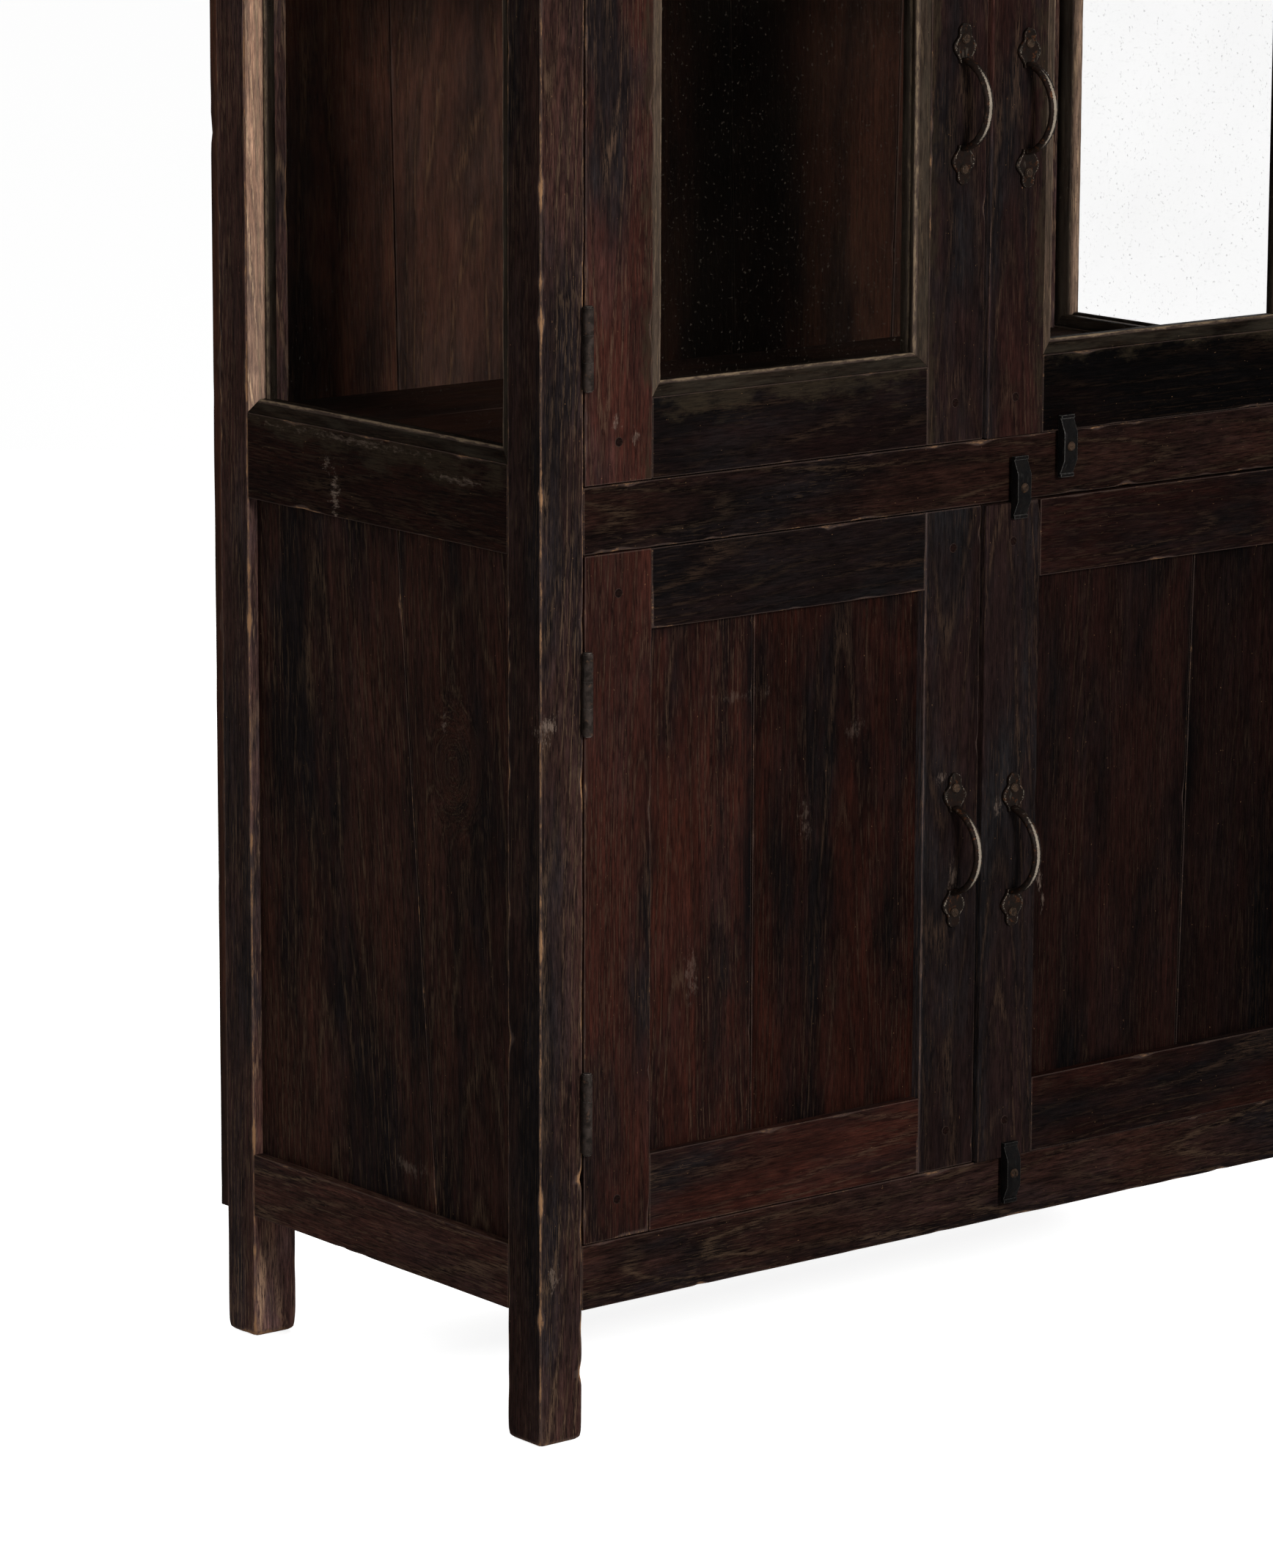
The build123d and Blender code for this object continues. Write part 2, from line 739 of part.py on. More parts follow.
def groove_y(side):
    """The depth range of the groove for a door's panel."""
    return (door_face(side) + panel_recess, door_face(side) + panel_recess + panel_thickness)


def stile(side, is_hinge, door_z, has_panel):
    """A stile with its mortises and pegs, and a panel groove, hinge gains or handle pilots."""
    span = (door_edge, hinge_stile_end) if is_hinge else (meeting_stile_end, meeting_edge)
    inner = span[1] if is_hinge else span[0]
    inwards = -1 if is_hinge else 1
    with BuildPart() as piece:
        block(across(side, *span), door_y(side), door_z)
        outer_x = side * (half - (span[0] if is_hinge else span[1]))
        edges = piece.edges().filter_by(Axis.Z).group_by(Axis.Y)[0]
        fillet(edges.sort_by(lambda edge: abs(edge.center().X - outer_x))[0], door_arris)
        tenon = sorted((inner, inner + inwards * door_tenon_length))
        for level in door_rail_levels(door_z):
            block(across(side, *tenon), door_tenon_y(side), shrink(level, tenon_shoulder), Mode.SUBTRACT)
        if has_panel:
            groove = sorted((inner, inner + inwards * groove_depth))
            block(across(side, *groove), groove_y(side), panel_groove_z(door_z), Mode.SUBTRACT)
        for plane in peg_places(side, span, door_z):
            rod(plane, peg_radius + peg_room, door_thickness, Mode.SUBTRACT)
        if is_hinge:
            for hinge_z in hinge_places(door_z):
                cut_gains(side, True, hinge_z)
        else:
            for x, z in handle_screws(side, door_z):
                rod(front_plane(x, door_face(side), z), pilot_radius, handle_screw_length, Mode.SUBTRACT)
        for plane in peg_places(side, span, door_z):
            rod(plane, peg_radius, door_thickness)
    return piece


def door_rail(side, level, door_z, has_panel):
    """A door's rail with a tenon at each end."""
    stiles = ((door_edge, hinge_stile_end), (meeting_stile_end, meeting_edge))
    with BuildPart() as piece:
        block(across(side, hinge_stile_end, meeting_stile_end), door_y(side), level)
        tenon = (hinge_stile_end - door_tenon_length, meeting_stile_end + door_tenon_length)
        block(across(side, *tenon), door_tenon_y(side), shrink(level, tenon_shoulder))
        if has_panel:
            groove = across(side, hinge_stile_end, meeting_stile_end)
            block(groove, groove_y(side), panel_groove_z(door_z), Mode.SUBTRACT)
        for span in stiles:
            for plane in peg_places(side, span, door_z):
                rod(plane, peg_radius + peg_room, door_thickness, Mode.SUBTRACT)
    return piece


def door_panel(side, door_z):
    """A panel of two boards in the grooves of a door."""
    z = shrink(panel_groove_z(door_z), groove_room)
    edge = groove_depth - groove_room
    joint_top = left_door_joint_top if side == LEFT else right_door_joint_top
    bottom_x = side * (half - hinge_stile_end - door_joint_bottom)
    top_x = side * (half - hinge_stile_end - joint_top)
    joint = (
        (bottom_x - board_gap / 2, z[0]),
        (bottom_x + board_gap / 2, z[0]),
        (top_x + board_gap / 2, z[1]),
        (top_x - board_gap / 2, z[1]),
    )
    with BuildPart() as piece:
        block(across(side, hinge_stile_end - edge, meeting_stile_end + edge), groove_y(side), z)
        slab(front_plane(0, groove_y(side)[0], 0), joint, panel_thickness, Mode.SUBTRACT)
    return piece


for side, word in ((LEFT, "left"), (RIGHT, "right")):
    for tier, door_z in (("lower", lower_door_z), ("upper", upper_door_z)):
        name = f"{tier}_{word}_door"
        has_panel = tier == "lower"
        save(stile(side, True, door_z, has_panel), f"{name}_hinge_stile")
        save(stile(side, False, door_z, has_panel), f"{name}_meeting_stile")
        for end, level in zip(("bottom", "top"), door_rail_levels(door_z)):
            save(door_rail(side, level, door_z, has_panel), f"{name}_{end}_rail")
        if has_panel:
            save(door_panel(side, door_z), f"{name}_panel")
        else:
            opening_x = across(side, hinge_stile_end, meeting_stile_end)
            opening_z = shrink(door_z, door_rail_height)
            opening = front_plane(middle(opening_x), door_face(side), middle(opening_z))
            opening_size = (length(opening_x), length(opening_z))
            with BuildPart() as door_glass:
                pane(opening, opening_size)
            save(door_glass, f"{name}_glass")
            with BuildPart() as door_beads:
                glazing(opening, opening_size)
            save(door_beads, f"{name}_glazing_beads")
        with BuildPart() as door_handle:
            handle(side, door_z)
        save(door_handle, f"{name}_handle")
        with BuildPart() as door_leaves:
            for hinge_z in hinge_places(door_z):
                hinge_leaf(side, True, hinge_z)
        save(door_leaves, f"{name}_hinge_leaves")
        with BuildPart() as door_screws:
            for index, (x, z) in enumerate(handle_screws(side, door_z)):
                plane = front_plane(x, door_face(side) - plate_thickness, z)
                round_screw(plane, plate_thickness + handle_screw_length, screw_angle(index))
            for hinge_z in hinge_places(door_z):
                for index, plane in enumerate(leaf_screws(side, True, hinge_z)):
                    flat_screw(plane, screw_angle(index))
        save(door_screws, f"{name}_screws")
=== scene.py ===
# %% [markdown]
# # A two tier display cabinet in stained teak
# The construction of the cabinet is already drawn as exact solids. This script loads them as a fixed
# frame and dresses them: each board gets worn arrises and its own grain, the ironwork gets its
# forged surface and the panes get their dust. Sizes are in millimetres, apart from those whose
# comment says metres, and are divided by 1000 where they go into a mesh or a material.

# %% Load the frame
import itertools
import json
import math

import bmesh
import bpy
import numpy as np
from mathutils import Matrix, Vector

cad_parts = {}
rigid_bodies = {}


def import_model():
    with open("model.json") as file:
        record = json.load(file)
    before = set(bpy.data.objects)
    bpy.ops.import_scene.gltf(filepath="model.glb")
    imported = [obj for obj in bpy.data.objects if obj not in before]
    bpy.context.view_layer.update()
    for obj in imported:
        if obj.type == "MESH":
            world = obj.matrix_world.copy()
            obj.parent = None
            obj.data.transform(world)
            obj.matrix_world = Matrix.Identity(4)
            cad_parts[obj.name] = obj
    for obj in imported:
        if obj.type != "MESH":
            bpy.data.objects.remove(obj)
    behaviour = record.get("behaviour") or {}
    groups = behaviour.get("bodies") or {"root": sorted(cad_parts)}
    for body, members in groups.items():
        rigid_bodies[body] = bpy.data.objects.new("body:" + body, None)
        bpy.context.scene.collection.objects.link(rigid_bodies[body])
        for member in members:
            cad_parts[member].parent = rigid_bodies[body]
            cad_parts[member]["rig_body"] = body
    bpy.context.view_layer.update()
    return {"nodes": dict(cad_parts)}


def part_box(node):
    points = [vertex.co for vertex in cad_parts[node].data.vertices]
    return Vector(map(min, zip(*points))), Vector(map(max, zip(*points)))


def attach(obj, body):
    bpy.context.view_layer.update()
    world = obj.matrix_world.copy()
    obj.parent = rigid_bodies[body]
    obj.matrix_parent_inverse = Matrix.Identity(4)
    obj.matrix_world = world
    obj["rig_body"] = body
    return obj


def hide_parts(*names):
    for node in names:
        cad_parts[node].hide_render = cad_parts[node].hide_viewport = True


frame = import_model()
bodies = {node: obj["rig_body"] for node, obj in frame["nodes"].items()}
seeds = itertools.count(11)  # one seed for each board and bead, in the order in which they are made

# %% [markdown]
# ## Sizes that the dressing shares with the construction
# The heights of the rails and the places where they end aren't boxes of a whole node, so they are
# written out here once. Sizes that only one kind of piece needs stand beside that piece.

# %% Sizes
half_width = 540.0  # half of the width over the posts
front, back = -237.5, 270.5
post_width = 50.0
between_posts = (-187.5, 224.5)  # from front to back
front_rail_back = -197.5
rail_levels = ((126.0, 189.0), (846.0, 909.0), (1709.0, 1772.0))
side_levels = ((126.0, 189.0), (846.0, 930.0), (1709.0, 1772.0))
side_rail_depth = 28.0
back_rail_depth = 28.0
sides = ((-1, "left"), (1, "right"))
door_names = [f"{tier}_{hand}_door" for tier in ("lower", "upper") for hand in ("left", "right")]


def box(node):
    """The ranges of a CAD node in millimetres: ((x0, x1), (y0, y1), (z0, z1))."""
    low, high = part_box(node)
    return tuple((1000 * low[i], 1000 * high[i]) for i in range(3))


def across(side, near, far):
    """The x range between two distances from the outer face of one side."""
    ends = (side * (half_width - near), side * (half_width - far))
    return (min(ends), max(ends))


print("case front", front, "back", back)

# %% [markdown]
# ## From arrays to a mesh
# Each shape is worked out as whole arrays: its corners, its faces, and four things that the finishes
# read at every corner. `grain` is the place in the board, in metres, with its third number along the
# fibres. `tone` is how light the stain is, with painted light and shade in it on some boards, how
# much grey bloom lies on it, and where the heart of the trunk was. `edge` is 1 on a worn arris.
# `grime` is black dirt where it is above 0 and settled pale dust where it is below 0. Writing them
# with foreach_set keeps it fast. Several boards that are one node become one piece.

# %% Shapes
def grid_faces(rings, around):
    """Four-sided faces between neighbouring rings, each ring closed on itself."""
    i, j = np.meshgrid(np.arange(rings - 1), np.arange(around), indexing="ij")
    k = (j + 1) % around
    faces = [i * around + j, i * around + k, (i + 1) * around + k, (i + 1) * around + j]
    return np.stack(faces, -1).reshape(-1, 4)


def closed_shape(points, grain, tone, edge, grime=0.0):
    """A tube of rings, points[ring, around], closed by a flat face at each end."""
    rings, around = points.shape[:2]
    last = np.arange(around) + (rings - 1) * around
    return {
        "co": points.reshape(-1, 3),
        "quads": grid_faces(rings, around),
        "caps": [np.arange(around)[::-1], last],
        "grain": grain.reshape(-1, 3),
        "tone": np.broadcast_to(tone, (rings * around, 3)),
        "edge": np.broadcast_to(edge, (rings, around)).reshape(-1),
        "grime": np.broadcast_to(grime, (rings, around)).reshape(-1),
    }


def turned_out(shape):
    """The same shape with its faces the other way round, for a section that runs clockwise."""
    shape["quads"] = shape["quads"][:, ::-1]
    shape["caps"] = [cap[::-1] for cap in shape["caps"]]
    return shape


print("a tube of 3 rings of 4 corners has", len(grid_faces(3, 4)), "faces and 2 caps")

# %% Pieces
corner_values = (
    ("grain", "FLOAT_VECTOR", "vector"),
    ("tone", "FLOAT_VECTOR", "vector"),
    ("edge", "FLOAT", "value"),
    ("grime", "FLOAT", "value"),
)


def stand_for(node, name, mesh):
    """An object that is seen instead of a CAD node and rides on the body of that node."""
    piece = bpy.data.objects.new(name, mesh)
    bpy.context.scene.collection.objects.link(piece)
    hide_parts(node)
    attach(piece, bodies[node])


def make_piece(name, shapes, finish, node):
    """One mesh object from several shapes, which stands for a CAD node."""
    first = np.cumsum([0] + [len(s["co"]) for s in shapes])
    quads = np.concatenate([s["quads"] + n for s, n in zip(shapes, first)])
    caps = [cap + n for s, n in zip(shapes, first) for cap in s["caps"]]
    corners = np.concatenate([quads.ravel()] + caps)
    sizes = np.concatenate([np.full(len(quads), 4), np.array([len(c) for c in caps], int)])
    places = np.concatenate([s["co"] for s in shapes]).astype(np.float32)
    mesh = bpy.data.meshes.new(name)
    mesh.vertices.add(int(first[-1]))
    mesh.vertices.foreach_set("co", places.ravel() / 1000)
    mesh.loops.add(len(corners))
    mesh.loops.foreach_set("vertex_index", corners.astype(np.int32))
    mesh.polygons.add(len(sizes))
    mesh.polygons.foreach_set("loop_start", (np.cumsum(sizes) - sizes).astype(np.int32))
    mesh.polygons.foreach_set("use_smooth", np.ones(len(sizes), bool))
    for key, kind, field in corner_values:
        data = np.concatenate([s[key] for s in shapes]).astype(np.float32).ravel()
        mesh.attributes.new(key, kind, "POINT").data.foreach_set(field, data)
    mesh.update(calc_edges=True)
    mesh.materials.append(finish)
    stand_for(node, name, mesh)


print("a piece carries", [key for key, kind, field in corner_values], "at every corner")

# %% [markdown]
# ## A board that has been used
# A cube is a poor board: what the eye reads as old timber is the arris, rounder here and chipped
# there, and a face that planing and shrinking left slightly hollow. So a board is a rectangle carried
# along its fibres. Close to the arrises the samples are dense, and each one is rounded by a radius
# that wanders and jumps where a chip is missing. A bevel modifier would round every arris alike,
# and sculpting could not be repeated for sixty boards. The faces only ever move inwards, so the
# board stays inside its solid.

# %% Waves, samples and stations
def waves(place, length, rng, count=5):
    """A smooth wandering value near -1 to 1: the mean of sines of chance phase, near one wavelength."""
    stretch = length * rng.uniform(0.45, 1.8, count)
    phase = rng.uniform(0, 2 * np.pi, count)
    return np.sin(place[..., None] * 2 * np.pi / stretch + phase).mean(-1) * 1.8


def samples(length, spacing):
    """Distances along one side of a rectangle, dense near both of its ends, without the last corner."""
    near = np.array([0.0, 0.5, 1.1, 1.9, 3.2, 6.0])
    near = near[near < length / 2 - 0.3]
    count = int((length - 2 * near[-1]) / spacing) + 2
    middle = np.linspace(near[-1], length - near[-1], count)[1:-1]
    return np.concatenate([near, middle, length - near[:0:-1]]) / length


def outline(size_u, size_v, spacing):
    """Samples round a rectangle, as shares of its half sizes from -1 to 1."""
    along_u, along_v = samples(size_u, spacing) * 2 - 1, samples(size_v, spacing) * 2 - 1
    ones_u, ones_v = np.ones(len(along_u)), np.ones(len(along_v))
    su = np.concatenate([along_u, ones_v, -along_u, -ones_v])
    sv = np.concatenate([-ones_u, along_v, ones_u, -along_v])
    return su, sv


end_insets = (1.8, 1.0, 0.4)  # the three outermost rings of a cap are this much smaller


def stations(total, step):
    """Places of the rings along a board: dense at both ends, with three at each end for the cap."""
    near = np.array([0.0, 0.4, 1.0, 1.8, 3.5])
    inner = np.linspace(near[-1], total - near[-1], max(3, int(total / step)))
    caps = len(end_insets)
    return np.concatenate([[0] * caps, near[:-1], inner, total - near[-2::-1], [total] * caps])


print("a 50 mm side has", len(samples(50, 14)), "samples")

# %% Worn arrises
chip_spacing = 160.0  # mean distance between chips along an arris


def worn_arrises(places, total, radius, chips, foot, rng):
    """The radius of each of the four arrises at every ring, and how deep a missing chip is there.

    The radius is its plain value times a slow wave, plus for each chip a bell curve, which is its
    depth times exp(-(distance / width)^2). `foot` is added at the low end and fades in 5 mm."""
    radii, missing = np.zeros((len(places), 4)), np.zeros((len(places), 4))
    for arris in range(4):
        number = rng.poisson(chips * total / chip_spacing)
        at, wide = rng.uniform(0, total, number), rng.uniform(5, 13, number)
        deep = rng.gamma(1.6, 0.75, number).clip(0, 4.0)
        missing[:, arris] = (deep * np.exp(-(((places[:, None] - at) / wide) ** 2))).sum(-1)
        radii[:, arris] = radius * (1 + 0.35 * waves(places, 170, rng)) + missing[:, arris]
    radii += foot * np.exp(-places / 5)[:, None]
    return radii, missing


def rounded(place, half, radii):
    """Samples moved on to the rounded form of a box.

    With h the half sizes and r the radii, a sample p goes to q + r (p - q) / |p - q|, where q is p
    held within h - r."""
    hold = [np.clip(p, -(h - r), h - r) for p, h, r in zip(place, half, radii)]
    off = [(p - q) / r for p, q, r in zip(place, hold, radii)]
    size = np.sqrt(off[0] ** 2 + off[1] ** 2 + off[2] ** 2).clip(1e-6)
    return [q + r * o / size for q, r, o in zip(hold, radii, off)]


print("chips are up to 4 mm deep and 5 to 13 mm wide")

# %% What the finish reads on a board
def grain_places(wide, thick, along, total, knot, rng):
    """The place of every sample in the trunk, in metres, with a chance offset for each board.

    At a knot the depth swells by 0.055 times exp(-(distance / width)^2), which bends the rings."""
    grain = np.stack([wide, thick, along], -1) / 1000
    if knot:
        place, height, width = knot
        over, up = (wide - place) / width, (along + total / 2 - height) / (1.5 * width)
        grain[..., 1] += 0.055 * np.exp(-(over**2) - (up**2))
    return grain + rng.uniform(-1, 1, 3) * (0.03, 0.0, 4.0)


def stain_tones(points, tone, painted_light_and_wear_planes, rng):
    """Lightness, bloom and heart at every sample. Near each plane the lightness is multiplied
    by 1 + (gain - 1) exp(-(distance / depth)^2): pale wear on some boards, painted light and
    shade on others."""
    chance = rng.uniform((0.9, 0, 0), (1.1, 1, 1))
    chance[: len(tone)] = tone
    chance = np.broadcast_to(chance, points.shape).copy()
    for axis, plane, depth, gain in painted_light_and_wear_planes:
        away = points[..., axis] - plane
        chance[..., 0] *= 1 + (gain - 1) * np.exp(-((away / depth) ** 2))
    return chance.reshape(-1, 3)


dust_share = 0.62  # how far settled dust goes below clean wood, besides hiding the dirt


def grime_near(near, points, dirt, reach, dust):
    """Dirt times exp(-distance to the arris / reach), less the dust, a bell curve about its plane."""
    grime = dirt * np.exp(-near / reach)
    if dust:
        axis, plane, dust_reach = dust
        away = np.abs(points[..., axis] - plane)
        grime = grime - (dust_share + dirt) * np.exp(-((away / dust_reach) ** 2))
    return grime


print("a board's lightness is 0.9 to 1.1 unless its stain is given")

# %% The board function
skin = 0.12  # a face lies this much inside its solid


def board(
    axis, ranges, end=None, radius=0.9, chips=1.0, step=7.0, spacing=14.0, hollow=0.25, foot=0.0,
    knot=None, tone=(), wear=0.7, dirt=0.6, reach=11, dust=None, painted_light_and_wear_planes=(),
):
    """A board with its grain along one axis, whose cross rectangle moves in a straight line from
    `ranges` to `end`, so a leaning joint is two rectangles.

    `radius`, `chips` and `foot` say how the arrises are worn, and `wear` how much that shows in the
    finish. `step` and `spacing` are the distances between samples along and across. A face sinks by
    `hollow` times a bell curve of its distance from the arrises, times slow waves. `knot` is its
    place across and along and its width: there the grain swells. `tone` replaces the chance values
    of that name. Dirt falls off as `dirt` times exp(-distance / `reach`) from the arrises. `dust` is
    an axis, a plane on it, and how far from that plane pale dust reaches. Each entry of the last
    argument is an axis, a plane, a depth and a gain, and multiplies the lightness near the plane by
    the gain: pale wear on some boards, painted light and shade on others."""
    rng = np.random.default_rng(next(seeds))
    u, v, w = {"X": (1, 2, 0), "Y": (2, 0, 1), "Z": (0, 1, 2)}[axis]
    start = np.array([ranges[u], ranges[v]])
    finish = start if end is None else np.array([end[u], end[v]])
    size_u, size_v = start[:, 1] - start[:, 0]
    su, sv = outline(size_u, size_v, spacing)
    total = ranges[w][1] - ranges[w][0]
    places = stations(total, step)
    insets = np.zeros(len(places))
    insets[:3] = np.array(end_insets) * (1 + foot)
    insets[-3:] = end_insets[::-1]
    t = (places / total)[:, None]
    centre = [(start[i].mean() * (1 - t) + finish[i].mean() * t) for i in (0, 1)]
    half = [(np.ptp(start[i]) * (1 - t) + np.ptp(finish[i]) * t) / 2 - skin for i in (0, 1)]
    arris = (su > 0).astype(int) + 2 * (sv > 0).astype(int)
    radii, missing = worn_arrises(places, total, radius, chips, foot, rng)
    r = np.minimum(radii[:, arris], np.minimum(half[0], half[1]) * 0.9).clip(0.15)
    pu = su * half[0] - np.sign(su) * np.minimum(insets[:, None], np.abs(su) * half[0])
    pv = sv * half[1] - np.sign(sv) * np.minimum(insets[:, None], np.abs(sv) * half[1])
    pw = np.broadcast_to(places[:, None] - total / 2, pu.shape)
    rw = np.full(r.shape, 0.7)
    rw[places < total / 2] += foot
    gaps = np.stack([half[0] - np.abs(pu), half[1] - np.abs(pv), total / 2 - np.abs(pw)])
    near = np.sort(gaps, 0)[1]
    pu, pv, pw = rounded((pu, pv, pw), (half[0], half[1], total / 2), (r, r, rw))
    fade = 1 - np.exp(-((near / 9) ** 2))
    bent = waves(pw + 40 * np.sin(su * 2 + sv), 240, rng)
    sink = hollow * fade * (0.5 + 0.5 * bent * waves(pu + pv, 110, rng)).clip(0, 1)
    on_v = np.abs(sv) > 0.999
    pu = pu - np.where(on_v, 0, np.sign(su) * sink)
    pv = pv - np.where(on_v, np.sign(sv) * sink, 0)
    points = np.zeros(pu.shape + (3,))
    points[..., u], points[..., v] = pu + centre[0], pv + centre[1]
    points[..., w] = pw + (ranges[w][0] + total / 2)
    wide, thick = (pu, pv) if size_u >= size_v else (pv, pu)
    grain = grain_places(wide, thick, pw, total, knot, rng)
    share = missing[:, arris] / (missing[:, arris] + 1.2)
    edge = np.exp(-((near / (1.0 + r)) ** 2)) * (0.55 + 0.45 * share) * wear
    stain = stain_tones(points, tone, painted_light_and_wear_planes, rng)
    return closed_shape(points, grain, stain, edge, grime_near(near, points, dirt, reach, dust))


print("board() gives rings that are dense at the arrises")

# %% Joints between boards
half_gap = 0.7  # half of a joint; a real joint is finer and would not show


def tongue(axis, ranges, over, thin, first, last):
    """A strip inside the thickness that closes the joint between two boards, so no light comes through.

    `over` and `thin` are the numbers of the axes across the joint and through the boards, and the
    joint runs from the place `first` to the place `last`."""
    start, end = list(ranges), list(ranges)
    middle = sum(ranges[thin]) / 2
    start[thin] = end[thin] = (middle - 1.5, middle + 1.5)
    start[over], end[over] = (first - 4, first + 4), (last - 4, last + 4)
    look = {"tone": (0.1, 0.3), "wear": 0}
    return board(axis, start, end=end, radius=0.3, chips=0, step=60, hollow=0, **look)


def two_boards(ranges, over, low, high, stains_and_painted_shade, knots=(None, None), **more):
    """A panel of two upright boards whose joint leans from `low` at the bottom to `high` at the top.

    `over` is the number of the axis across the joint, x or y."""
    first, last = ranges[over]
    panel = []
    for bottom, top, tone, knot in (
        ((first, low - half_gap), (first, high - half_gap), stains_and_painted_shade[0], knots[0]),
        ((low + half_gap, last), (high + half_gap, last), stains_and_painted_shade[1], knots[1]),
    ):
        start, end = list(ranges), list(ranges)
        start[over], end[over] = bottom, top
        panel.append(board("Z", start, end=end, chips=0.5, radius=0.6, knot=knot, tone=tone, **more))
    return panel + [tongue("Z", ranges, over, 1 - over, low, high)]


def row_of_boards(x, y, z, count, **more):
    """Boards beside each other from front to back, with a tongue in each joint between them."""
    step = (y[1] - y[0]) / count
    row = []
    for i in range(count):
        nearer = y[0] + i * step + half_gap * (i > 0)
        farther = y[0] + (i + 1) * step - half_gap * (i < count - 1)
        row.append(board("X", (x, (nearer, farther), z), **more))
    joints = [y[0] + i * step for i in range(1, count)]
    return row + [tongue("X", (x, y, z), 1, 2, place, place) for place in joints]


print("joints are drawn", 2 * half_gap, "mm wide")

# %% [markdown]
# ## Small helpers for materials
# Colours are written as the hex values that a screen shows, and one function turns them into the
# linear values that light adds up in. One other function adds any node with its settings and links,
# and the settings that many nodes share have names. A pattern is noise at a real scale, which is
# read from a table of how many features lie in a metre.

# %% Colour and node helpers
product = {"operation": "MULTIPLY"}
multiply_add = {"operation": "MULTIPLY_ADD"}
smooth = {"interpolation_type": "SMOOTHSTEP"}  # 0 below the low value, 1 above the high one
as_colour = {"output": 2, "data_type": "RGBA"}  # share 0, and the colours 6 and 7 that it mixes


def linear(hex_colour):
    """A screen colour such as #30231f as linear red, green, blue and 1."""
    c = np.array([int(hex_colour[i : i + 2], 16) for i in (1, 3, 5)]) / 255
    return (*np.where(c <= 0.04045, c / 12.92, ((c + 0.055) / 1.055) ** 2.4), 1.0)


def add(tree, kind, inputs=(), output=0, **settings):
    """Adds one node and gives one of its outputs. Its settings are its properties.

    Its inputs are values or other nodes' outputs: for its sockets in their order, or as a dictionary
    for the sockets that it names."""
    node = tree.nodes.new("ShaderNode" + kind)
    for key, value in settings.items():
        setattr(node, key, value)
    for key, value in inputs.items() if isinstance(inputs, dict) else enumerate(inputs):
        if isinstance(value, bpy.types.NodeSocket):
            tree.links.new(value, node.inputs[key])
        else:
            node.inputs[key].default_value = value
    return node.outputs[output]


def pattern(tree, place, scale):
    """Noise with (x, y, z) features in a metre, then how many finer layers it has and how strong."""
    *per_metre, detail, roughness = scale
    scaled = add(tree, "VectorMath", (place, per_metre), **product)
    inputs = {"Vector": scaled, "Scale": 1.0, "Detail": detail, "Roughness": roughness}
    return add(tree, "TexNoise", inputs)


def new_material(name):
    """A material with one Principled shader, and that shader's tree and node."""
    material = bpy.data.materials.new(name)
    material.use_nodes = True
    return material, material.node_tree, material.node_tree.nodes["Principled BSDF"]


print("linear #808080 =", round(linear("#808080")[0], 3))

# %% [markdown]
# ## Teak, stained dark and handled for decades
# The board is a slice of a trunk, so growth rings are distances from a heart line that lies behind
# the face and isn't quite parallel to it: that is what draws arches on a flat sawn board. Teak is
# ring porous, and its pores are dashes some centimetres long, which hold pale dust. Real pores are
# 0.3 mm wide and would not show, so they are drawn about four times as wide. Noise and waves are
# used because they follow each board's own grain and never repeat from board to board.

# %% The scales of the patterns in teak
teak_scales = {  # the size of one feature in millimetres, across by along the board
    "wander": (9, 9, 1.8, 3, 0.5),  # 110 by 560: how the rings bend
    "clouds": (13, 13, 4.5, 5, 0.62),  # 77 by 220: where the stain has gone cloudy
    "stain": (12, 12, 2.6, 5, 0.62),  # 83 by 385: where the stain has sunk in
    "patches": (22, 22, 9, 4, 0.7),  # 45 by 110: light and dark places
    "stripes": (190, 190, 8, 5, 0.66),  # 5 by 125: bands of early and late wood
    "fibres": (640, 640, 50, 4, 0.78),  # 1.6 by 20: bundles of fibres, drawn coarser than real ones
    "pores": (760, 760, 50, 2, 0.5),  # 1.3 by 20: drawn coarser, see above
    "sparse": (40, 40, 8, 3, 0.5),  # 25 by 125: where pores and ring lines are pale
    "smudges": (15, 15, 4, 2, 0.7),  # 67 by 250: hand marks
    "settling": (50, 50, 22, 5, 0.7),  # 20 by 45: the ragged end of settled dust
    "specks": (620, 620, 300, 1, 0.5),  # 1.6 by 3: small chips through the stain
    "rubbing": (300, 300, 60, 4, 0.75),  # 3 by 17: the ragged end of rubbed wood
    "tearing": (230, 230, 100, 4, 0.78),  # 4 by 10: the ragged end of a knock
    "film": (90, 90, 14, 4, 0.65),  # 11 by 71: a film of dust
}


def read_board(tree):
    """What each board carries in its mesh, and the two patterns that several steps share."""
    stains_and_painted_shade = add(tree, "SeparateXYZ", (add(tree, "Attribute", output=1, attribute_name="tone"),))
    wood = dict(zip(("light", "bloom", "heart"), stains_and_painted_shade.node.outputs))
    wood["grain"] = add(tree, "Attribute", output=1, attribute_name="grain")
    for key in ("edge", "grime"):
        wood[key] = add(tree, "Attribute", output=2, attribute_name=key)
    for key in ("clouds", "fibres"):
        wood[key] = pattern(tree, wood["grain"], teak_scales[key])
    wood["broken"] = add(tree, "MapRange", (wood["fibres"], 0.42, 0.58), **smooth)
    return wood


print(len(teak_scales), "patterns in teak")

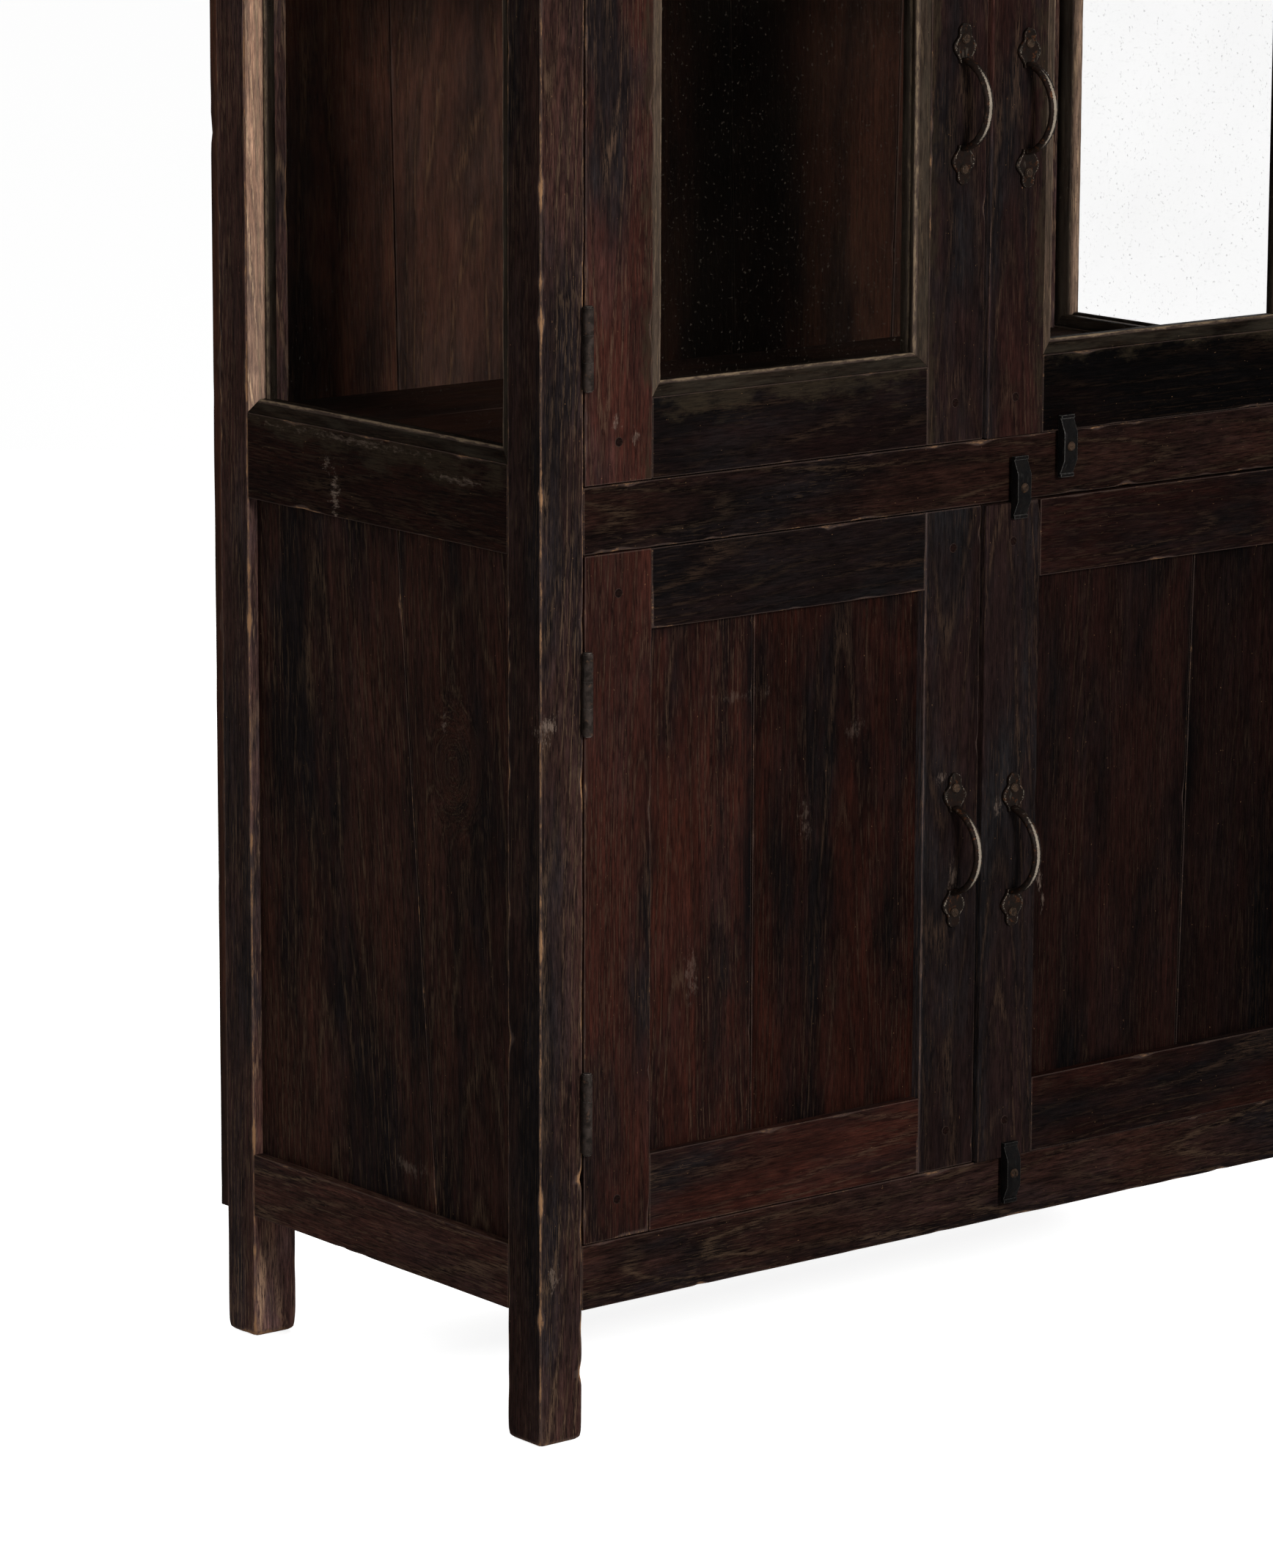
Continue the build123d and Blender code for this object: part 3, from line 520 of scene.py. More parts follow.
# %% Growth rings
def growth_rings(tree, wood, spacing):
    """A wave that rises and falls once from ring to ring.

    The distance from the heart is the length of (across, depth + lean), where the lean grows along
    the board, plus a slow noise. The wave is 0.5 + 0.5 sin(2 pi distance / spacing), in metres."""
    gx, gy, gz = add(tree, "SeparateXYZ", (wood["grain"],)).node.outputs[:]
    noise = pattern(tree, wood["grain"], teak_scales["wander"])
    wander = add(tree, "MapRange", (noise, 0, 1, -0.014, 0.014))
    heart = add(tree, "Math", (wood["heart"], 0.09, 0.02), **multiply_add)
    lean = add(tree, "Math", (gz, 0.028, heart), **multiply_add)
    deep = add(tree, "Math", (gy, lean), operation="ADD")
    radius = add(tree, "VectorMath", (add(tree, "CombineXYZ", (gx, deep)),), 1, operation="LENGTH")
    radius = add(tree, "Math", (radius, wander), operation="ADD")
    turns = add(tree, "Math", (radius, 2 * math.pi / spacing), **product)
    sine = add(tree, "Math", (turns,), operation="SINE")
    return add(tree, "Math", (sine, 0.5, 0.5), **multiply_add)


print("rings are distances from a leaning heart line")

# %% [markdown]
# The stain has sunk in unevenly and gone cloudy, blue grey in some places and red brown in others.
# Stripes, fibres, rings and patches each make it lighter or darker by a factor, and pale dust sits
# in the ring lines and the pores.

# %% Stain and grain
def stain_and_grain(tree, wood, wave, pores, core, dark, bloom, pale, contrast):
    """The colour of clean stained wood: two stains, grey bloom over them, and pale lines and pores."""
    grain = wood["grain"]
    sunk = add(tree, "MapRange", (pattern(tree, grain, teak_scales["stain"]), 0.42, 0.64), **smooth)
    colour = add(tree, "Mix", {0: sunk, 6: linear(core), 7: linear(dark)}, **as_colour)
    stripes = pattern(tree, grain, teak_scales["stripes"])
    patches = pattern(tree, grain, teak_scales["patches"])
    factors = [
        add(tree, "MapRange", (value, low, high, at_low, at_high))
        for value, low, high, at_low, at_high in (
            (stripes, 0.35, 0.65, 1 - 0.32 * contrast, 1 + 0.45 * contrast),
            (wood["fibres"], 0.36, 0.64, 1 - 0.7 * contrast, 1 + 0.85 * contrast),
            (wave, 0, 1, 1.2, 0.8),
            (patches, 0.36, 0.66, 0.72, 1.32),
        )
    ]
    band = factors[0]
    for factor in factors[1:]:
        band = add(tree, "Math", (band, factor), **product)
    colour = add(tree, "VectorMath", {0: colour, "Scale": band}, operation="SCALE")
    cloudy = add(tree, "MapRange", (wood["clouds"], 0.45, 0.66), **smooth)
    cloudy = add(tree, "Math", (cloudy, 0.28), **product)
    share = add(tree, "Math", (wood["bloom"], 0.72, cloudy), **multiply_add)
    grey = add(tree, "VectorMath", {0: linear(bloom)[:3], "Scale": band}, operation="SCALE")
    colour = add(tree, "Mix", {0: share, 6: colour, 7: grey}, **as_colour)
    sparse = add(tree, "MapRange", (pattern(tree, grain, teak_scales["sparse"]), 0.4, 0.6), **smooth)
    line = add(tree, "Math", (wave, 12.0), operation="POWER")
    line = add(tree, "Math", (line, wood["broken"]), **product)
    line = add(tree, "Math", (line, add(tree, "MapRange", (sparse, 0, 1, 0.25, 0.7))), **product)
    colour = add(tree, "Mix", {0: line, 6: colour, 7: linear(pale)}, **as_colour)
    dash = add(tree, "Math", (pores, add(tree, "MapRange", (sparse, 0, 1, 0.25, 1.0))), **product)
    dash = add(tree, "Math", (dash, 0.42 * contrast), **product)
    return add(tree, "Mix", {0: dash, 6: colour, 7: linear(pale)}, **as_colour)


print("stain, bloom and pale lines")

# %% [markdown]
# Decades of hands and lamp smoke darken the whole surface by at least half, and more in the corners.
# Beside the panes nobody wipes, so pale dust settles there with a ragged end.

# %% Dirt and dust
least_dirt = 0.5


def dirt_and_dust(tree, wood, colour):
    """Smudges, then black dirt, then the board's lightness with its painted light and shade, then
    settled dust where grime < 0.
    """
    grain, grime = wood["grain"], wood["grime"]
    smudge = pattern(tree, grain, teak_scales["smudges"])
    smudge = add(tree, "MapRange", (smudge, 0.66, 0.74), **smooth)
    smudge = add(tree, "Math", (smudge, 0.25), **product)
    colour = add(tree, "Mix", {0: smudge, 6: colour, 7: linear("#4a3735")}, **as_colour)
    uneven = add(tree, "MapRange", (wood["clouds"], 0.35, 0.6, 0.2, 0.85))
    dirt = add(tree, "Math", (grime, uneven), **product)
    dirt = add(tree, "Math", (dirt, least_dirt), operation="MAXIMUM")
    colour = add(tree, "Mix", {0: dirt, 6: colour, 7: linear("#110e0f")}, **as_colour)
    colour = add(tree, "VectorMath", {0: colour, "Scale": wood["light"]}, operation="SCALE")
    settled = pattern(tree, grain, teak_scales["settling"])
    settled = add(tree, "Math", (settled, 3.0, -1.5), **multiply_add)
    settled = add(tree, "Math", (settled, grime), operation="SUBTRACT")
    settled = add(tree, "MapRange", (settled, 0.3, 0.95), **smooth)
    fibrous = add(tree, "MapRange", (wood["fibres"], 0.36, 0.64, 0.3, 0.9))
    settled = add(tree, "Math", (settled, fibrous), **product)
    return add(tree, "Mix", {0: settled, 6: colour, 7: linear("#2a231a")}, **as_colour)


print("at least", least_dirt, "of every face is dirt")

# %% [markdown]
# The stain is chipped in specks, thin on every arris, and rubbed through to raw wood where an arris
# is chipped. Someone knocked the cabinet or leaned on it at a few places of the object.

# %% Wear and knocks
def wear_and_knocks(tree, wood, colour, raw, worn, marks):
    """Specks, pale arrises, knocks and rubbed wood, each a blend over the colour.

    A mark is (x, y, z, width, height, strength) in millimetres. Its distance is the length of the
    offset divided by its size, and it shows where a ragged noise is larger than 0.45 distances."""
    grain, edge = wood["grain"], wood["edge"]
    speck = pattern(tree, grain, teak_scales["specks"])
    speck = add(tree, "MapRange", (speck, 0.79, 0.82), **smooth)
    speck = add(tree, "Math", (speck, 0.35), **product)
    colour = add(tree, "Mix", {0: speck, 6: colour, 7: linear(raw)}, **as_colour)
    thin = add(tree, "MapRange", (edge, 0.22, 0.42), **smooth)
    thin = add(tree, "Math", (thin, 0.28), **product)
    colour = add(tree, "Mix", {0: thin, 6: colour, 7: linear("#62514a")}, **as_colour)
    place = add(tree, "TexCoord", output=3)
    torn = pattern(tree, grain, teak_scales["tearing"])
    torn = add(tree, "Math", (torn, 2.2, -0.75), **multiply_add)
    for x, y, z, wide, high, strength in marks:
        away = add(tree, "VectorMath", (place, (x / 1000, y / 1000, z / 1000)), operation="SUBTRACT")
        away = add(tree, "VectorMath", (away, (1000 / wide, 1000 / wide, 1000 / high)), **product)
        distance = add(tree, "VectorMath", (away,), 1, operation="LENGTH")
        close = add(tree, "Math", (distance, -0.45, torn), **multiply_add)
        close = add(tree, "MapRange", (close, 0.02, 0.4), **smooth)
        fibrous = add(tree, "MapRange", (wood["broken"], 0, 1, 0.35 * strength, strength))
        scuff = add(tree, "Math", (close, fibrous), **product)
        colour = add(tree, "Mix", {0: scuff, 6: colour, 7: linear("#75655a")}, **as_colour)
    ragged = pattern(tree, grain, teak_scales["rubbing"])
    ragged = add(tree, "Math", (ragged, 1.9, -0.98), **multiply_add)
    rub = add(tree, "Math", (edge, ragged), operation="ADD")
    rub = add(tree, "MapRange", (rub, 0.42, 0.95), **smooth)
    rub = add(tree, "Math", (rub, 0.75 * worn), **product)
    return add(tree, "Mix", {0: rub, 6: colour, 7: linear(raw)}, **as_colour)


print("arrises are rubbed through to raw wood")

# %% [markdown]
# The finish brings the steps together. A stained board is nearly matt. The white surround would veil
# so dark a wood in its gloss, so its specular level is close to 0 and the light comes from the lamps.

# %% Stained teak
def stained_teak(
    name, core, dark, bloom, pale, raw,
    rings=0.0055, worn=1.0, contrast=1.0, dusty=0.0, rough=0.62, marks=(),
):
    """Wood read from the board's own grain coordinates. `core` and `dark` are the two stains, `bloom`
    the grey over them, `pale` the dust in the pores and `raw` the bare wood. `rings` is the distance
    between growth rings in metres, and `dusty` how much of a dust film lies over everything."""
    material, tree, shader = new_material(name)
    wood = read_board(tree)
    wave = growth_rings(tree, wood, rings)
    pores = pattern(tree, wood["grain"], teak_scales["pores"])
    pores = add(tree, "MapRange", (pores, 0.56, 0.64), **smooth)
    colour = stain_and_grain(tree, wood, wave, pores, core, dark, bloom, pale, contrast)
    colour = dirt_and_dust(tree, wood, colour)
    colour = wear_and_knocks(tree, wood, colour, raw, worn, marks)
    if dusty:
        film = pattern(tree, wood["grain"], teak_scales["film"])
        film = add(tree, "MapRange", (film, 0.35, 0.7), **smooth)
        film = add(tree, "Math", (film, dusty), **product)
        colour = add(tree, "Mix", {0: film, 6: colour, 7: linear("#453f35")}, **as_colour)
    tree.links.new(colour, shader.inputs["Base Color"])
    roughness = add(tree, "MapRange", (wood["clouds"], 0.35, 0.7, rough - 0.12, rough + 0.14))
    tree.links.new(roughness, shader.inputs["Roughness"])
    shader.inputs["Specular IOR Level"].default_value = 0.008
    height = add(tree, "Math", (wave, 0.4), **product)
    height = add(tree, "Math", (pores, -0.6, height), **multiply_add)
    height = add(tree, "Math", (wood["fibres"], 1.6, height), **multiply_add)
    bump = add(tree, "Bump", {"Strength": 0.5, "Distance": 0.0007, "Height": height})
    tree.links.new(bump, shader.inputs["Normal"])
    return material


side_marks = (  # x, y, z, width, height, strength
    (-540, 82, 869, 9, 26, 0.75),
    (-540, 95, 897, 8, 8, 0.5),
    (-540, -117, 906, 50, 5, 0.35),
    (-540, 60, 923, 160, 5, 0.3),
    (-529, -76, 669, 5, 12, 0.5),
    (-532, -237, 690, 15, 20, 0.7),
    (-524, -237, 163, 7, 18, 0.7),
    (-529, -15, 226, 30, 10, 0.3),
)
door_marks = (
    (-451, -237, 967, 6, 10, 0.6),
    (-429, -237, 950, 5, 12, 0.5),
    (-47, -237, 583, 9, 9, 0.45),
    (-31, -237, 479, 9, 22, 0.3),
    (20, -242, 545, 9, 12, 0.4),
    (88, -232, 470, 4, 26, 0.5),
    (92, -232, 440, 3, 18, 0.45),
    (-212, -227, 560, 9, 26, 0.2),
    (-350, -227, 428, 9, 34, 0.22),
    (-150, -227, 640, 14, 12, 0.15),
    (-290, -227, 690, 40, 8, 0.15),
)
frame_wood = stained_teak(
    "stained_teak_frame", "#48291e", "#171110", "#302a2b", "#856a53", "#9c7553", marks=side_marks
)
door_wood = stained_teak(
    "stained_teak_doors", "#4e261b", "#1c1413", "#2a2829", "#7a5e4b", "#8d6a4b",
    contrast=0.75, marks=door_marks,
)
inner_wood = stained_teak(
    "stained_teak_boards", "#46271a", "#1f120d", "#2b201a", "#5d432e", "#5f4630",
    worn=0.4, contrast=0.5,
)
bead_wood = stained_teak(
    "dusty_teak_beads", "#3c2b20", "#2a1f19", "#393027", "#6d5a46", "#a08a6e",
    rings=0.004, worn=0.6, contrast=0.7, dusty=0.25, rough=0.8,
)
print([m.name for m in bpy.data.materials])

# %% [markdown]
# ## Posts, rails and boards of the case
# The four posts run down to the floor as legs and are worn round underneath. Rails meet them at
# square shoulders, so their tenons are left out here: nothing ever shows them. The side panels and
# back boards have leaning joints, as they came from tapering planks. The case could be one box with
# lines drawn on it, but then the grain would not turn where a rail meets a post, so each member is a
# board of its own. Boards came from many trees, so each has its own stain: a table says how light it
# is and how much grey bloom it has. The boards further right are also set darker in it, which is
# painted shade of a light that falls off to the right.

# %% The stain of each board, with painted shade
# boards further right are set darker: painted shade of a light that falls off to the right
stains_and_painted_shade = {
    "front_bottom_rail": (0.48, 0.25),
    "front_middle_rail": (0.31, 0.3),
    "front_top_rail": (0.4, 0.3),
    "front_left_post": (0.76, 0.5),
    "back_left_post": (0.8, 0.45),
    "lower_left_door_hinge_stile": (0.6, 0.2),
    "lower_left_door_meeting_stile": (0.41, 0.85),
    "lower_left_door_top_rail": (0.26, 0.95),
    "lower_left_door_bottom_rail": (0.6, 0.15),
    "lower_right_door_meeting_stile": (0.46, 0.9),
    "lower_right_door_top_rail": (0.3, 0.3),
    "lower_right_door_bottom_rail": (0.34, 0.3),
    "upper_left_door_hinge_stile": (0.84, 0.2),
    "upper_left_door_meeting_stile": (0.5, 0.7),
    "upper_left_door_bottom_rail": (0.25, 0.75),
    "upper_right_door_meeting_stile": (0.5, 0.5),
    "upper_right_door_bottom_rail": (0.1, 0.6),
    "lower_left_door_panel": ((0.55, 0.05), (0.33, 0.1)),
    "lower_right_door_panel": ((0.27, 0.45), (0.18, 0.6)),
}
post_tone = (0.9, 0.4)  # for a post that isn't in the table
door_tone = (0.5, 0.35)  # for a stile or rail of a door that isn't in the table
print(len(stains_and_painted_shade), "boards have their own stain")

# %% Posts
for node in ("front_left_post", "front_right_post", "back_left_post", "back_right_post"):
    side = -1 if "left" in node else 1
    if "front" in node:  # a paler foot, and the outer face painted darker as painted shade
        painted_light_and_wear_planes = [(2, 0, 90, 1.5), (0, side * half_width, 2, 0.54)]
    else:  # a paler foot, and the front face painted paler as painted light
        painted_light_and_wear_planes = [(2, 0, 90, 2.1), (1, between_posts[1], 2, 3.2)]
    if node == "back_right_post":  # a paler inner face
        painted_light_and_wear_planes.append((0, half_width - post_width, 3, 1.6))
    worn = {"radius": 1.3, "chips": 2.4, "foot": 5.5, "wear": 1.15}
    post = board("Z", box(node), step=5.0, tone=stains_and_painted_shade.get(node, post_tone), painted_light_and_wear_planes=painted_light_and_wear_planes, **worn)
    make_piece(f"{node}_wood", [post], frame_wood, node)

# %% Front, side and back rails
inside = (-half_width + post_width, half_width - post_width)
for node, level in zip(("front_bottom_rail", "front_middle_rail", "front_top_rail"), rail_levels):
    place = (inside, (front, front_rail_back), level)
    rail = board("X", place, radius=1.1, chips=1.8, step=6.0, tone=stains_and_painted_shade[node])
    make_piece(f"{node}_wood", [rail], frame_wood, node)
side_rails = (  # stain and dust of the bottom, middle and top rail; the dust lies beside the pane
    ((0.8, 0.3), None),
    ((0.22, 0.1), (2, side_levels[1][1], 24)),
    ((0.7, 0.3), (2, side_levels[2][0], 10)),
)
for side, word in sides:
    thickness = across(side, 0, side_rail_depth)
    rails = [
        board("Y", (thickness, between_posts, level), radius=1.0, step=6.0, tone=tone, dust=dust)
        for level, (tone, dust) in zip(side_levels, side_rails)
    ]
    make_piece(f"{word}_side_rails_wood", rails, frame_wood, f"{word}_side_rails")
thickness = (back - back_rail_depth, back)
rails = [board("X", (inside, thickness, level), step=12.0) for level in rail_levels]
make_piece("back_rails_wood", rails, inner_wood, "back_rails")
print("rails done")

# %% Side panels
side_joint = (124.0, 185.0)  # behind the front posts, at the bottom and at the top
side_tones = ((0.53, 0.15), (0.56, 0.15))
for side, word in sides:
    low, high = (between_posts[0] + away for away in side_joint)
    look = {"spacing": 10, "wear": 0.75, "dirt": 0.9, "reach": 24, "knots": ((17, 446, 26), None)}
    panel = two_boards(box(f"{word}_side_panel"), 1, low, high, side_tones, **look)
    make_piece(f"{word}_side_panel_wood", panel, frame_wood, f"{word}_side_panel")
print("side panels of", len(panel) - 1, "boards")

# %% Back boards
back_board_width, back_board_lean = 216.0, 20.0
back_stains_and_painted_light = (  # stain, and the gain on the inner face: painted light from the panes above 1, painted shade below 1
    ((1.0, 0.2), 1.9),
    ((1.0, 0.6), 1.85),
    ((0.8, 0.3), 0.65),
    ((0.9, 0.2), 0.85),
    ((1.0, 0.3), 1.0),
)
painted_stile_shadow = (0, 140, 85, 0.27)  # painted shadow of the meeting stiles, right of the middle, on both faces
x, y, z = box("back_boards")
edges = [(x[0], x[0])]
for index in range(1, len(back_stains_and_painted_light)):
    at, lean = x[0] + index * back_board_width, back_board_lean * (-1) ** index
    edges.append((at - lean, at + lean))
edges.append((x[1], x[1]))
boards = []
for left, right, (tone, gain) in zip(edges, edges[1:], back_stains_and_painted_light):
    bottom, top = ((left[end] + half_gap, right[end] - half_gap) for end in (0, 1))
    painted_light_and_wear_planes = [(1, y[0], 3, gain), painted_stile_shadow]
    leaning = {"end": (top, y, z), "step": 10, "radius": 0.8}
    boards.append(board("Z", (bottom, y, z), tone=tone, painted_light_and_wear_planes=painted_light_and_wear_planes, **leaning))
boards += [tongue("Z", (x, y, z), 0, 1, *edge) for edge in edges[1:-1]]
make_piece("back_boards_wood", boards, inner_wood, "back_boards")
print(len(back_stains_and_painted_light), "back boards")

# %% Floors and shelves
board_thickness = 19.0
inner_front = -208.5  # where the floors and the door stops begin
floor_half_widths = (516.0, 511.0)  # of the lower and the upper floor
shelf_levels, shelf_half_width, shelf_front = (508.0, 1380.0), 489.5, -177.5
floors = []
for reach, rail in zip(floor_half_widths, rail_levels):
    level = (rail[1], rail[1] + board_thickness)
    floors += row_of_boards((-reach, reach), (inner_front, back), level, 3, step=12)
make_piece("floor_boards_wood", floors, inner_wood, "floor_boards")
shelves = []
for z in shelf_levels:
    x = (-shelf_half_width, shelf_half_width)
    shelves += row_of_boards(x, (shelf_front, back), (z, z + board_thickness), 2, step=12)
make_piece("shelf_boards_wood", shelves, inner_wood, "shelf_boards")
print(len(floors) + len(shelves), "boards and tongues in floors and shelves")

# %% Cleats, stops and top
cleat, stop_height, shelf_cleat_front = 20.0, 18.0, -205.5
floor_level = rail_levels[1][1]
strips = []
for side, word in sides:
    floor_cleat = across(side, side_rail_depth, side_rail_depth + cleat)
    shelf_cleat = across(side, post_width, post_width + cleat)
    level = (floor_level - cleat, floor_level)
    strips.append(board("Y", (floor_cleat, between_posts, level), step=14))
    for z in shelf_levels:
        place = (shelf_cleat, (shelf_cleat_front, back), (z - cleat, z))
        strips.append(board("Y", place, step=14))
for level in rail_levels[1:]:
    place = (inside, (inner_front, front_rail_back), (level[0] - stop_height, level[0]))
    strips.append(board("X", place, step=14))
make_piece("cleats_and_stops_wood", strips, inner_wood, "cleats_and_stops")
tops = row_of_boards(*box("top_boards"), 3, radius=2.6, chips=1.5, step=8)
make_piece("top_boards_wood", tops, frame_wood, "top_boards")
print(len(strips), "cleats and stops,", len(tops), "boards and tongues on top")

# %% [markdown]
# ## Doors
# A door is two stiles and two rails, pegged through their tenons. The lower doors hold a panel of two
# boards. The pegs are end grain, so they are small turned discs a hair proud of the stile. They could
# be painted on, but a real dome catches the light and hides the end of the tenon.

# %% Pegs
peg_radius = 4.5
peg_tone = (0.26, 0.6, 0.3)


def peg(x, y, z):
    """A disc seen end on, turned about a line to the front: its height over the face is a flat dome."""
    reach = np.array([0.3, 0.75, 0.93, 1.0, 1.03]) * peg_radius
    rise = np.array([0.28, 0.24, 0.12, -0.05, -0.6])
    turn = np.linspace(0, 2 * np.pi, 24, endpoint=False)
    px, pz = x + reach[:, None] * np.cos(turn), z + reach[:, None] * np.sin(turn)
    py = np.broadcast_to((y - rise)[:, None], px.shape)
    points = np.stack([px, py, pz], -1)[::-1]
    grain = np.stack([px - x + 30, pz - z, py * 3], -1)[::-1] / 1000
    ring = np.array([0.0, 0.05, 0.32, 0.42, 0.42])[::-1, None]
    return closed_shape(points, grain, peg_tone, ring)


print("a peg has", len(peg(0, 0, 0)["co"]), "corners")

# %% Door boards
door_opening = (131.0, 468.0)  # from the outer face of the case to the panel or the glass
glass_levels = (986.0, 1632.0)
door_joint = {"left": (132.0, 132.0), "right": (132.0, 120.0)}  # from the opening, bottom and top
painted_light_edges = {  # how deep and how much paler the left edge of a meeting stile is painted: painted light on its side face, which lies in shade
    "lower_left_door_meeting_stile": (2.0, 4.0),
    "lower_right_door_meeting_stile": (1.5, 1.4),
    "upper_right_door_meeting_stile": (1.5, 3.0),
}
for name in door_names:
    tier, hand = name.split("_")[:2]
    side = -1 if hand == "left" else 1
    upper = tier == "upper"
    hinge, meeting = box(f"{name}_hinge_stile"), box(f"{name}_meeting_stile")
    levels = [box(f"{name}_{end}_rail")[2] for end in ("bottom", "top")]
    face = hinge[1][0]
    for word, span, inset in zip(("hinge", "meeting"), (hinge, meeting), door_opening):
        node = f"{name}_{word}_stile"
        painted_light_and_wear_planes = [(0, span[0][0], *painted_light_edges[node])] if node in painted_light_edges else []
        look = {
            "radius": 1.0, "chips": 2.0, "step": 5.0, "tone": stains_and_painted_shade.get(node, door_tone),
            "wear": 0.35 if side > 0 and word == "meeting" else 0.7,
            "dust": (0, side * (half_width - inset), 15) if upper else None,
        }
        stile = board("Z", span, painted_light_and_wear_planes=painted_light_and_wear_planes, **look)
        pegs = [peg(sum(span[0]) / 2, face + skin, sum(level) / 2) for level in levels]
        make_piece(f"{node}_wood", [stile] + pegs, door_wood, node)
    left, right = sorted((hinge[0], meeting[0]))
    for end, level, glass_edge in zip(("bottom", "top"), levels, glass_levels):
        node = f"{name}_{end}_rail"
        look = {
            "radius": 0.9, "chips": 1.2, "step": 6.0, "tone": stains_and_painted_shade.get(node, door_tone),
            "dust": (2, glass_edge, 22 if side < 0 else 8) if upper else None,
        }
        rail = board("X", ((left[1], right[0]), hinge[1], level), **look)
        make_piece(f"{node}_wood", [rail], door_wood, node)
    if not upper:
        node = f"{name}_panel"
        low, high = (side * (half_width - door_opening[0] - away) for away in door_joint[hand])
        look = {"spacing": 9, "wear": 0.7, "dirt": 1.25, "reach": 32}
        panel = two_boards(box(node), 0, low, high, stains_and_painted_shade[node], **look)
        make_piece(f"{node}_wood", panel, door_wood, node)
print(len(door_names), "doors")

# %% [markdown]
# ## Glazing beads
# A bead is a strip with a sloping face, mitred at the corners and pinned round the pane. It is one
# profile carried along each side, and the mitre comes from shortening the run by the distance from
# the opening's edge, so the corner closes at 45 degrees.

# %% One bead
def bead_profile(width, reach, slope, soft=0.7):
    """Corners (a, b) of a bead's section: a is 0 at the opening's edge, and b grows from the face.

    The face slopes by `slope` over the width, and the back is flat at `reach`."""
    edge, inner = 0.05, width - 0.05
    return np.array([
        (edge, soft), (soft, edge),
        (width * 0.3, slope * 0.3), (width * 0.65, slope * 0.65),
        (width - soft, slope - 0.1 + soft * 0.1), (inner, slope + soft),
        (inner, (slope + reach) / 2), (inner, reach),
        (width / 2, reach), (edge, reach), (edge, reach / 2),
    ])


def bead(origin, run, inward, depth, long_half, start, width, reach, slope, light):
    """One bead. Points are origin + s*run + a*inward + b*depth, with a from 0 to the width, b from
    the face to the back, and s within the half length minus a. `light` is how pale it is: its stain,
    and on some beads painted light."""
    rng = np.random.default_rng(next(seeds))
    profile = bead_profile(width, reach, slope)
    inner = np.linspace(-0.99, 0.99, max(8, int(long_half / 5)))
    t = np.concatenate([[-1, -0.998], inner, [0.998, 1]])[:, None]
    a, b = (np.broadcast_to(profile[:, i], (len(t), len(profile))) for i in (0, 1))
    s = t * (long_half - a - 0.2)
    on_face = b < slope + 1.2
    rough = 0.28 * rng.uniform(0, 1, s.shape) * (on_face & (a > 0.3))
    b = b + start + (rough + 0.2 * (waves(s, 90, rng) + 1) * on_face)
    points = origin + s[..., None] * run + a[..., None] * inward + b[..., None] * depth
    grain = np.stack([a, b, s], -1) / 1000 + rng.uniform(-1, 1, 3) * (0.02, 0.01, 3.0)
    # the inner arris is rubbed pale: wear, with a painted highlight along it
    near = np.abs(a - width) + np.abs(b - start - slope)
    tone = (light, *rng.uniform(0, 1, 2))
    shape = closed_shape(points, grain, tone, np.exp(-((near / 2.2) ** 2)))
    return turned_out(shape) if np.dot(np.cross(inward, depth), run) < 0 else shape


print("a bead's section has", len(bead_profile(14.0, 11.9, 5.0)), "corners")

# %% Rings of beads
inner_light = (0.45, 0.45, 0.45, 0.45)
side_light = (0.32, 0.5, 0.5, 15.0)  # the rear upright one has lost its stain
# how pale each bead is; the left uprights are set paler, which is painted light on beads in shade
door_bead_stains_and_painted_light = {"left": (0.34, 0.5, 2.2, 0.95), "right": (0.22, 0.5, 2.0, 0.95)}
bead_room = 0.3  # the outer beads lie this far behind the face of the frame


def bead_ring(centre, along, depth, size, light, start, width, reach, slope):
    """Four beads round an opening of the given size, with their outer edges on its sides.

    `light` says how pale each is, by its stain and on some beads by painted light: bottom, top,
    and the upright ones against and with `along`."""
    centre, along, up, depth = (np.array(v, float) for v in (centre, along, (0, 0, 1), depth))
    section = (start, width, reach, slope)
    shapes = []
    for sign, level_light, upright_light in ((-1, light[0], light[2]), (1, light[1], light[3])):
        edge = centre + sign * up * size[1] / 2
        shapes.append(bead(edge, along, -sign * up, depth, size[0] / 2, *section, level_light))
        edge = centre + sign * along * size[0] / 2
        shapes.append(bead(edge, up, -sign * along, depth, size[1] / 2, *section, upright_light))
    return shapes


def glazing(centre, along, depth, size, light):
    """The outer beads in front of a pane, pale as `light` says, and the inner beads behind it."""
    inner = bead_ring(centre, along, depth, size, inner_light, 15.05, 12.0, 11.9, 0.1)
    return bead_ring(centre, along, depth, size, light, 0.0, 14.0, 11.9, 5.0) + inner


beads = []
opening = (between_posts, (side_levels[1][1], side_levels[2][0]))
size = tuple(high - low for low, high in opening)
middle_y, middle_z = (sum(span) / 2 for span in opening)
for side, word in sides:
    centre = (side * (half_width - bead_room), middle_y, middle_z)
    beads += glazing(centre, (0, 1, 0), (-side, 0, 0), size, side_light)
make_piece("side_glazing_beads_wood", beads, bead_wood, "side_glazing_beads")
size = (door_opening[1] - door_opening[0], glass_levels[1] - glass_levels[0])
for side, hand in sides:
    name = f"upper_{hand}_door"
    face = box(f"{name}_hinge_stile")[1][0]
    centre = (sum(across(side, *door_opening)) / 2, face + bead_room, sum(glass_levels) / 2)
    ring = glazing(centre, (1, 0, 0), (0, 1, 0), size, door_bead_stains_and_painted_light[hand])
    node = f"{name}_glazing_beads"
    make_piece(f"{node}_wood", ring, bead_wood, node)
